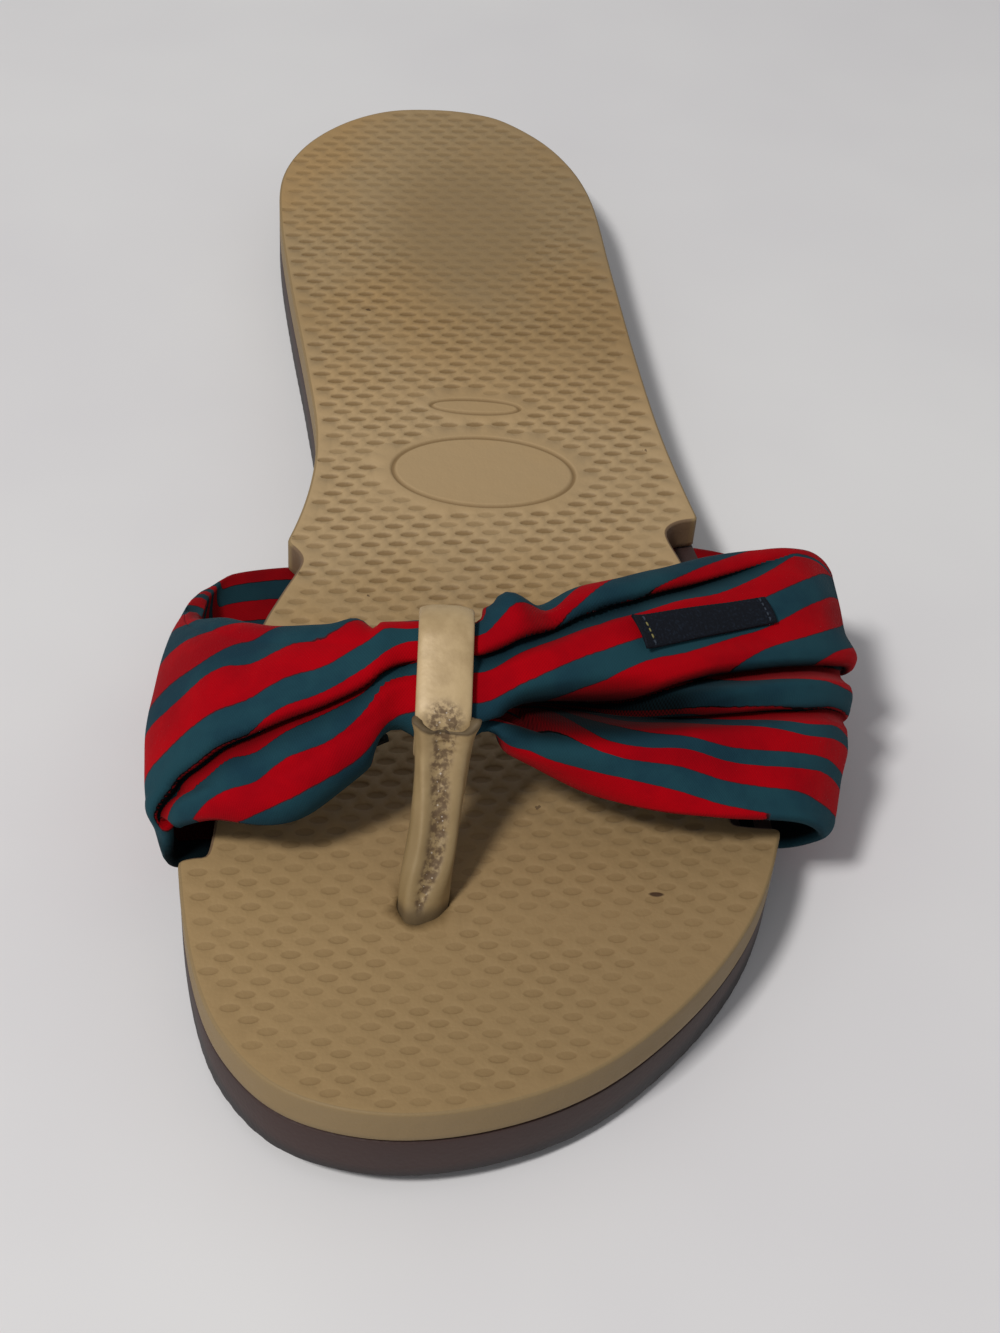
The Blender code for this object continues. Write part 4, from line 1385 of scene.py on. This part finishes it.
# %% [markdown]
# ## Finishes
#
# Four things happen on more than one of these surfaces: a colour wanders a little from
# place to place, dirt settles in some spots, a fine grain roughens the surface, and small
# specks show. Three node groups do this: patches for both colour and dirt, grain, and
# specks. Each is built once and placed in every material that needs it with its own numbers.
# The groups only put out masks and heights; the shader stays in the material, where
# constants such as sheen and coat are set on its own sockets.

# %% Node helpers
def add(tree, kind, **settings):
    """A node of this kind, with its properties and its unlinked inputs set by name."""
    made = tree.nodes.new(kind)
    for name, value in settings.items():
        if hasattr(made, name):
            setattr(made, name, value)
        else:
            made.inputs[name.replace("_", " ")].default_value = value
    return made


def on_model(tree):
    """Where a point lies on the model, in metres."""
    return add(tree, "ShaderNodeTexCoord").outputs["Object"]


def texture(tree, kind, **settings):
    """A texture that stays put on the model."""
    made = add(tree, kind, **settings)
    tree.links.new(on_model(tree), made.inputs["Vector"])
    return made


def maths(tree, operation, *values, clamp=False):
    """A Math node whose inputs are numbers or other nodes' outputs."""
    made = add(tree, "ShaderNodeMath", operation=operation, use_clamp=clamp)
    for socket, value in zip(made.inputs, values):
        if isinstance(value, (int, float)):
            socket.default_value = value
        else:
            tree.links.new(value, socket)
    return made.outputs[0]


def ramp(tree, value, low, high):
    """0 where a value is at low, 1 where it is at high, and a soft step between."""
    made = add(tree, "ShaderNodeMapRange", interpolation_type="SMOOTHSTEP")
    made.inputs["From Min"].default_value = low
    made.inputs["From Max"].default_value = high
    tree.links.new(value, made.inputs["Value"])
    return made.outputs["Result"]


def blend(tree, share, a, b, kind="MIX"):
    """A colour between a and b, each a colour or another node's output."""
    made = add(tree, "ShaderNodeMix", data_type="RGBA", blend_type=kind)
    for socket, value in ((made.inputs[0], share), (made.inputs[6], a), (made.inputs[7], b)):
        if isinstance(value, (int, float)):
            socket.default_value = value
        elif isinstance(value, tuple):
            socket.default_value = (*value, 1.0)
        else:
            tree.links.new(value, socket)
    return made.outputs[2]


def paint(tree, under, mask, share, colour):
    """A colour laid over another where a mask says, and at most this share of it."""
    return blend(tree, maths(tree, "MULTIPLY", mask, share, clamp=True), under, colour)


def attribute(tree, name):
    return add(tree, "ShaderNodeAttribute", attribute_name=name).outputs["Fac"]


def srgb(red, green, blue):
    """A colour given as it looks on a screen, 0 to 255, as the shader needs it."""
    shares = [channel / 255 for channel in (red, green, blue)]
    return tuple(c / 12.92 if c <= 0.04045 else ((c + 0.055) / 1.055) ** 2.4 for c in shares)


def new_group(name, inputs, outputs):
    """An empty node group. Inputs and outputs are (name, kind, default)."""
    group = bpy.data.node_groups.new(name, "ShaderNodeTree")
    for way, sockets in (("INPUT", inputs), ("OUTPUT", outputs)):
        for label, kind, default in sockets:
            socket = group.interface.new_socket(label, in_out=way, socket_type=f"NodeSocket{kind}")
            if default is not None:
                socket.default_value = default
    return group, group.nodes.new("NodeGroupInput").outputs, group.nodes.new("NodeGroupOutput").inputs


def use(tree, group, **values):
    """A group placed in a material, with its inputs set or linked."""
    made = tree.nodes.new("ShaderNodeGroup")
    made.node_tree = group
    for name, value in values.items():
        socket = made.inputs[name.replace("_", " ")]
        if isinstance(value, (int, float)):
            socket.default_value = value
        else:
            tree.links.new(value, socket)
    return made.outputs


# %% Group: patches, where a colour or dirt comes and goes
def make_patches():
    group, ins, outs = new_group(
        "patches",
        [("Size", "Float", 0.02), ("Low", "Float", 0.4), ("High", "Float", 0.6)],
        [("Mask", "Float", None)])
    cloud = texture(group, "ShaderNodeTexNoise", Detail=4.0, Roughness=0.6)
    group.links.new(maths(group, "DIVIDE", 1.0, ins["Size"]), cloud.inputs["Scale"])
    step = add(group, "ShaderNodeMapRange", interpolation_type="SMOOTHSTEP")
    group.links.new(cloud.outputs["Fac"], step.inputs["Value"])
    group.links.new(ins["Low"], step.inputs["From Min"])
    group.links.new(ins["High"], step.inputs["From Max"])
    group.links.new(step.outputs["Result"], outs["Mask"])
    return group


# %% Group: grain, the fine relief of rubber or leather
def make_grain():
    group, ins, outs = new_group(
        "grain", [("Size", "Float", 0.001), ("Cells", "Float", 0.5)], [("Height", "Float", None)])
    scale = maths(group, "DIVIDE", 1.0, ins["Size"])
    soft = texture(group, "ShaderNodeTexNoise", Detail=3.0)
    cells = texture(group, "ShaderNodeTexVoronoi", feature="F1")
    for node in (soft, cells):
        group.links.new(scale, node.inputs["Scale"])
    height = blend(group, ins["Cells"], soft.outputs["Fac"], cells.outputs["Distance"])
    group.links.new(height, outs["Height"])
    return group


# %% Group: specks, small sparse marks
SPECK_RAGGED = 0.12  # how far a speck's edge strays from round, as a share of the spacing


def make_specks():
    group, ins, outs = new_group(
        "specks", [("Spacing", "Float", 0.01), ("Reach", "Float", 0.1)], [("Mask", "Float", None)])
    wobble = texture(group, "ShaderNodeTexNoise", Scale=900.0, Detail=2.0).outputs["Fac"]
    dots = texture(group, "ShaderNodeTexVoronoi", feature="F1")
    group.links.new(maths(group, "DIVIDE", 1.0, ins["Spacing"]), dots.inputs["Scale"])
    ragged = maths(group, "MULTIPLY_ADD", wobble, SPECK_RAGGED, dots.outputs["Distance"])
    edge = maths(group, "ADD", ins["Reach"], SPECK_RAGGED / 2)
    group.links.new(maths(group, "LESS_THAN", ragged, edge), outs["Mask"])
    return group


PATCHES, GRAIN, SPECKS = make_patches(), make_grain(), make_specks()


def new_material(name, **constants):
    """A material with an empty colour, and its shader's constants set by socket name."""
    made = bpy.data.materials.new(name)
    made.use_nodes = True
    shader = made.node_tree.nodes["Principled BSDF"]
    for label, value in constants.items():
        shader.inputs[label.replace("_", " ")].default_value = value
    return made, made.node_tree, shader


def bump(tree, shader, height, distance, strength=1.0, below=None):
    """Feeds a height to the shader's normal. Returns the node, so that another can follow."""
    made = add(tree, "ShaderNodeBump", Strength=strength, Distance=distance)
    tree.links.new(height, made.inputs["Height"])
    if below:
        tree.links.new(below.outputs["Normal"], made.inputs["Normal"])
    tree.links.new(made.outputs["Normal"], shader.inputs["Normal"])
    return made


def wear_material(piece, material):
    piece.data.materials.clear()
    piece.data.materials.append(material)


# %% [markdown]
# ### Rubber
#
# The footbed is pale tan rubber with a dry, slightly chalky face. Where the heel presses it
# has gone grey and smoother. It is darker towards the toes and lighter across the waist. The
# dents of the grain and the grooves of the marks are darkened with a little dirt and painted
# shade, the toe hole and the side wall with painted shade, and the walls of the bites with
# dirt and painted shade. The outsole is dark brown, greyer and darker towards the floor with
# dirt and painted shade, and dustier there.

# %% Footbed rubber
RUBBER = srgb(163, 137, 98)
RUBBER_WARM = srgb(168, 136, 90)
RUBBER_CLOUDY = srgb(150, 128, 92)
RUBBER_WORN = srgb(140, 116, 80)
RUBBER_HOLLOW_DIRT_AND_SHADE = srgb(110, 84, 46)
RUBBER_WAIST_LIGHT = srgb(190, 161, 119)
RUBBER_TOE_DARK = srgb(158, 130, 88)
RUBBER_WALL_SHADE = srgb(134, 112, 76)
RUBBER_BITE_DIRT_AND_SHADE = srgb(104, 80, 60)
SPECK = srgb(62, 38, 10)
FLECK_AT, FLECK_HALF = (37.9, -88.5, 15.0), (1.35, 0.5, 2.0)
TOE_DARK_FROM, TOE_DARK_TO = -0.030, -0.095  # Y where the ball and toes begin to darken it, and where most
SHADE_ACROSS = (-0.050, 0.030)  # X from the paler inner side to the darker outer side
OUTER_SHADE = (0.80, 0.80, 0.80)
WAIST_LIGHT_BEHIND, WAIST_LIGHT_BEFORE = (-0.035, -0.005), (0.055, 0.015)  # Y where the waist turns lighter, from the toe side and from the heel side


def near_place(tree, centre, half):
    """1 at a place on the model, fading to 0 where it is its half size away."""
    shift = add(tree, "ShaderNodeVectorMath", operation="SUBTRACT")
    tree.links.new(on_model(tree), shift.inputs[0])
    shift.inputs[1].default_value = in_model(centre)
    share = add(tree, "ShaderNodeVectorMath", operation="DIVIDE")
    tree.links.new(shift.outputs[0], share.inputs[0])
    share.inputs[1].default_value = np.array(half) * MM
    away = add(tree, "ShaderNodeVectorMath", operation="LENGTH")
    tree.links.new(share.outputs[0], away.inputs[0])
    return ramp(tree, away.outputs["Value"], 1.0, 0.6)


def model_axes(tree):
    """A point's X, Y and Z on the model, in metres."""
    made = add(tree, "ShaderNodeSeparateXYZ")
    tree.links.new(on_model(tree), made.inputs[0])
    return made.outputs


def footbed_material():
    made, tree, shader = new_material("footbed_rubber")
    warm = use(tree, PATCHES, Size=0.045, Low=0.42, High=0.62)["Mask"]
    cloudy = use(tree, PATCHES, Size=0.012, Low=0.35, High=0.7)["Mask"]
    colour = blend(tree, warm, RUBBER, RUBBER_WARM)
    colour = paint(tree, colour, cloudy, 0.18, RUBBER_CLOUDY)
    place = model_axes(tree)
    # The top grows darker towards the toes and lighter across the waist.
    colour = blend(tree, ramp(tree, place["Y"], TOE_DARK_FROM, TOE_DARK_TO), colour, RUBBER_TOE_DARK)
    outer_side = ramp(tree, place["X"], *SHADE_ACROSS)
    colour = blend(tree, outer_side, colour, OUTER_SHADE, kind="MULTIPLY")
    lighter = maths(tree, "MULTIPLY", ramp(tree, place["Y"], *WAIST_LIGHT_BEHIND),
                  ramp(tree, place["Y"], *WAIST_LIGHT_BEFORE))
    colour = paint(tree, colour, lighter, 0.55, RUBBER_WAIST_LIGHT)
    wear = attribute(tree, "wear")
    colour = paint(tree, colour, wear, 0.85, RUBBER_WORN)
    # The dents and the marks' grooves are darkened with dirt and painted shade, the toe hole with
    # painted shade.
    colour = paint(tree, colour, attribute(tree, "hollow"), 0.72, RUBBER_HOLLOW_DIRT_AND_SHADE)
    # Painted shade: the side wall is darkened.
    colour = paint(tree, colour, attribute(tree, "wall"), 0.85, RUBBER_WALL_SHADE)
    # The walls of the bites are darkened with dirt and painted shade.
    colour = paint(tree, colour, attribute(tree, "bite"), 0.8, RUBBER_BITE_DIRT_AND_SHADE)
    specks = use(tree, SPECKS, Spacing=0.016, Reach=0.035)["Mask"]
    colour = paint(tree, colour, specks, 0.7, SPECK)
    colour = blend(tree, near_place(tree, FLECK_AT, FLECK_HALF), colour, SPECK)
    tree.links.new(colour, shader.inputs["Base Color"])
    shine = maths(tree, "MULTIPLY_ADD", wear, -0.10, 0.66)
    tree.links.new(maths(tree, "MULTIPLY_ADD", cloudy, 0.08, shine), shader.inputs["Roughness"])
    fine = use(tree, GRAIN, Size=0.0006, Cells=0.4)["Height"]
    broad = use(tree, GRAIN, Size=0.0030, Cells=0.2)["Height"]
    first = bump(tree, shader, broad, 0.00025, 0.6)
    bump(tree, shader, fine, 0.00006, 0.8, below=first)
    return made


wear_material(footbed, footbed_material())

# %% Outsole rubber
SOLE_BROWN = srgb(56, 35, 31)
SOLE_LOW_DIRT_AND_SHADE = srgb(30, 25, 27)
SOLE_DUST = srgb(64, 56, 54)
SOLE_CLOUDY = srgb(44, 32, 30)
SOLE_DARK_FROM, SOLE_DARK_TO = 0.0060, 0.0030  # heights where the brown turns dark with dirt and painted shade


def outsole_material():
    made, tree, shader = new_material("outsole_rubber")
    low = ramp(tree, model_axes(tree)["Z"], SOLE_DARK_FROM, SOLE_DARK_TO)
    cloudy = use(tree, PATCHES, Size=0.010, Low=0.35, High=0.7)["Mask"]
    # Darker towards the floor, with dirt and painted shade.
    colour = blend(tree, low, SOLE_BROWN, SOLE_LOW_DIRT_AND_SHADE)
    dust = maths(tree, "MULTIPLY", use(tree, PATCHES, Size=0.006, Low=0.48, High=0.75)["Mask"], low)
    colour = paint(tree, colour, dust, 0.55, SOLE_DUST)
    colour = paint(tree, colour, cloudy, 0.25, SOLE_CLOUDY)
    tree.links.new(colour, shader.inputs["Base Color"])
    tree.links.new(maths(tree, "MULTIPLY_ADD", dust, 0.2, 0.62), shader.inputs["Roughness"])
    grain = use(tree, GRAIN, Size=0.0008, Cells=0.4)["Height"]
    bump(tree, shader, grain, 0.0001, 0.7)
    return made


wear_material(outsole, outsole_material())

# %% [markdown]
# ### Striped cloth
#
# The stripes come from the stripe number carried by every point. Its remainder when it is
# halved tells red from teal, and a narrow soft step between them is the printed seam. The
# cloth is a fine jersey: loops about half a millimetre apart, seen only close to, as a
# slight grain. The face is matt, with hardly any shine and only a trace of sheen. Creases,
# the hems and the inside of the band are darkened towards black with painted shade.

# %% Cloth
CLOTH_RED = srgb(172, 0, 14)
CLOTH_RED_DEEP = srgb(148, 0, 14)
CLOTH_TEAL = srgb(32, 68, 78)
CLOTH_TEAL_DEEP = srgb(25, 55, 68)
PAINTED_SHADE_DARK, FUZZ_DARK = 0.9, 0.10
SEAM_DARK = 2.6
SEAM_WAVER = 0.06  # stripes by which a seam wavers
INTO_TEAL, INTO_RED = (0.985, 1.045), (1.96, 2.0)  # remainders over which the ink changes
KNIT_ACROSS, KNIT_ALONG = 0.55, 0.45  # millimetres between loops of the knit


def cloth_material():
    made, tree, shader = new_material(
        "striped_cloth", Roughness=0.88, Sheen_Weight=0.02, Sheen_Roughness=0.5,
        Specular_IOR_Level=0.05)
    waver = texture(tree, "ShaderNodeTexNoise", Scale=900.0, Detail=2.0).outputs["Fac"]
    number = maths(tree, "MULTIPLY_ADD", waver, SEAM_WAVER, attribute(tree, "stripe"))
    number = maths(tree, "FLOORED_MODULO", number, 2.0)
    teal = maths(tree, "SUBTRACT", ramp(tree, number, *INTO_TEAL), ramp(tree, number, *INTO_RED),
                 clamp=True)
    deeper = use(tree, PATCHES, Size=0.018, Low=0.38, High=0.66)["Mask"]
    colour = blend(tree, teal, blend(tree, deeper, CLOTH_RED, CLOTH_RED_DEEP),
                   blend(tree, deeper, CLOTH_TEAL, CLOTH_TEAL_DEEP))
    across = maths(tree, "MULTIPLY", attribute(tree, "over"), 2 * pi / KNIT_ACROSS)
    along = maths(tree, "MULTIPLY", attribute(tree, "along"), 2 * pi / KNIT_ALONG)
    loops = maths(tree, "MULTIPLY", maths(tree, "SINE", across), maths(tree, "SINE", along))
    fuzz = maths(tree, "MULTIPLY_ADD", loops, 0.5, 0.5)
    seam = maths(tree, "MULTIPLY", teal, maths(tree, "SUBTRACT", 1.0, teal))
    dark = maths(tree, "MULTIPLY_ADD", seam, SEAM_DARK, maths(tree, "MULTIPLY", fuzz, FUZZ_DARK))
    # Painted shade: creases, hems and the inside of the band are darkened towards black.
    dark = maths(tree, "MULTIPLY_ADD", attribute(tree, "painted_shade"), PAINTED_SHADE_DARK, dark, clamp=True)
    colour = blend(tree, dark, colour, (0.0, 0.0, 0.0))
    tree.links.new(colour, shader.inputs["Base Color"])
    soft = use(tree, GRAIN, Size=0.0009, Cells=0.0)["Height"]
    first = bump(tree, shader, soft, 0.00010, 0.6)
    bump(tree, shader, fuzz, 0.00005, 0.6, below=first)
    return made


wear_material(strap, cloth_material())

# %% [markdown]
# ### Pearly leather
#
# The leather is tan with a thin pearly finish, so it is slightly metallic under a faint coat.
# Handling has made the sleeve greyer than the loop. Where the leather is creased, and at the
# sleeve's seam, the finish has flaked: dark specks of the hide show, with a few bright
# silvery ones between them. The sleeve's top has a dark cut edge, and its foot in the toe
# hole and the inside of its collar are darkened with painted shade.

# %% Leather
LEATHER_TAN = srgb(190, 164, 122)
LEATHER_DULL = srgb(172, 146, 106)
LEATHER_GRIMY = srgb(134, 112, 74)
LEATHER_DARK = srgb(78, 56, 38)
LEATHER_EDGE_AND_SHADE = srgb(40, 26, 14)
SILVER = srgb(214, 204, 190)
PEARL = 0.08  # how metallic the whole finish is


def leather_material():
    made, tree, shader = new_material("tan_leather", Coat_Weight=0.06, Coat_Roughness=0.4)
    seam, rim = attribute(tree, "seam"), attribute(tree, "rim")
    dull = use(tree, PATCHES, Size=0.006, Low=0.4, High=0.68)["Mask"]
    colour = blend(tree, dull, LEATHER_TAN, LEATHER_DULL)
    colour = paint(tree, colour, attribute(tree, "grime"), 0.8, LEATHER_GRIMY)
    flakes = use(tree, PATCHES, Size=0.0010, Low=0.38, High=0.60)["Mask"]
    flaked = maths(tree, "MULTIPLY", flakes, ramp(tree, seam, 0.12, 0.6))
    colour = paint(tree, colour, flaked, 0.8, LEATHER_DARK)
    bright = use(tree, SPECKS, Spacing=0.0009, Reach=0.14)["Mask"]
    bright = maths(tree, "MULTIPLY", bright, ramp(tree, seam, 0.4, 0.8))
    colour = paint(tree, colour, bright, 0.5, SILVER)
    # Dark cut edge, and painted shade at the sleeve's foot and inside its collar.
    colour = paint(tree, colour, rim, 0.75, LEATHER_EDGE_AND_SHADE)
    tree.links.new(colour, shader.inputs["Base Color"])
    dry = maths(tree, "MULTIPLY_ADD", maths(tree, "MAXIMUM", flaked, rim), 0.3, 0.5)
    tree.links.new(dry, shader.inputs["Roughness"])
    pearl = maths(tree, "MULTIPLY_ADD", flaked, -PEARL, PEARL, clamp=True)
    tree.links.new(pearl, shader.inputs["Metallic"])
    grain = use(tree, GRAIN, Size=0.0007, Cells=0.6)["Height"]
    broad = use(tree, GRAIN, Size=0.0022, Cells=0.1)["Height"]
    first = bump(tree, shader, broad, 0.00008, 0.5)
    bump(tree, shader, grain, 0.00004, 0.6, below=first)
    return made


LEATHER_FINISH = leather_material()
wear_material(leather_loop, LEATHER_FINISH)
wear_material(leather_sleeve, LEATHER_FINISH)

# %% Webbing and thread
WEBBING = srgb(11, 15, 24)
WEBBING_LIGHT = srgb(30, 40, 54)
THREAD_OLIVE = srgb(120, 112, 60)


def webbing_material():
    made, tree, shader = new_material("dark_webbing", Roughness=0.85, Specular_IOR_Level=0.2)
    threads = texture(tree, "ShaderNodeTexNoise", Scale=2600.0, Detail=2.0).outputs["Fac"]
    colour = paint(tree, WEBBING, ramp(tree, threads, 0.50, 0.72), 0.5, WEBBING_LIGHT)
    tree.links.new(colour, shader.inputs["Base Color"])
    bump(tree, shader, threads, 0.00012, 0.8)
    return made


def thread_material():
    made, tree, shader = new_material("tab_thread", Roughness=0.7)
    colour = blend(tree, attribute(tree, "olive"), WEBBING_LIGHT, THREAD_OLIVE)
    tree.links.new(colour, shader.inputs["Base Color"])
    twist = texture(tree, "ShaderNodeTexNoise", Scale=4000.0).outputs["Fac"]
    bump(tree, shader, twist, 0.00005, 0.6)
    return made


wear_material(woven_tab, webbing_material())
wear_material(tab_stitches, thread_material())

# %% [markdown]
# ## The band as one sheet
#
# The band is the one piece of cloth here, and the tab with its stitches is sewn to it. Its
# flat size is the rectangle that it is made from, before it is gathered, and both numbers
# are estimates. The band is curved, so it is longer along its back edge than along its
# middle. It is wider at its tails than where it is gathered.

# %% [markdown]
# ## Floor and light
#
# The sandal stands on a plain pale floor. One soft lamp, from the toe end and the inner side
# and about fifty degrees up, throws the shadows that seat the sandal on the floor, and a dim
# even sky fills them. The colours are shown plainly, with no film curve.

# %% Stage
FLOOR, FLOOR_CLOUDY, FLOOR_HALF = srgb(232, 231, 231), srgb(224, 222, 224), 1.6
LAMP_WAY = (-0.48, -0.52, 1.0)
LAMP_AWAY, LAMP_SIZE, LAMP_POWER, LAMP_COLOUR = 1.9, 0.28, 23.0, (1.0, 0.985, 0.96)
SKY, SKY_COLOUR = 0.31, (0.97, 0.98, 1.0)


def make_floor():
    mesh = bpy.data.meshes.new("floor")
    bm = bmesh.new()
    bmesh.ops.create_grid(bm, x_segments=4, y_segments=4, size=FLOOR_HALF)
    bm.to_mesh(mesh)
    bm.free()
    floor = bpy.data.objects.new("floor", mesh)
    bpy.context.scene.collection.objects.link(floor)
    made, tree, shader = new_material("pale_floor", Roughness=0.55)
    cloudy = use(tree, PATCHES, Size=0.2, Low=0.3, High=0.7)["Mask"]
    colour = blend(tree, cloudy, FLOOR, FLOOR_CLOUDY)
    tree.links.new(colour, shader.inputs["Base Color"])
    wear_material(floor, made)


def make_light():
    lamp = bpy.data.lights.new("lamp", "AREA")
    lamp.energy, lamp.size = LAMP_POWER, LAMP_SIZE
    lamp.color = LAMP_COLOUR
    placed = bpy.data.objects.new("lamp", lamp)
    placed.location = Vector(LAMP_WAY).normalized() * LAMP_AWAY
    placed.rotation_euler = Vector(LAMP_WAY).to_track_quat("Z", "Y").to_euler()
    bpy.context.scene.collection.objects.link(placed)
    world = bpy.data.worlds.new("sky")
    world.use_nodes = True
    sky = world.node_tree.nodes["Background"]
    sky.inputs["Color"].default_value = (*SKY_COLOUR, 1.0)
    sky.inputs["Strength"].default_value = SKY
    bpy.context.scene.world = world
    bpy.context.scene.view_settings.view_transform = "Standard"


make_floor()
make_light()
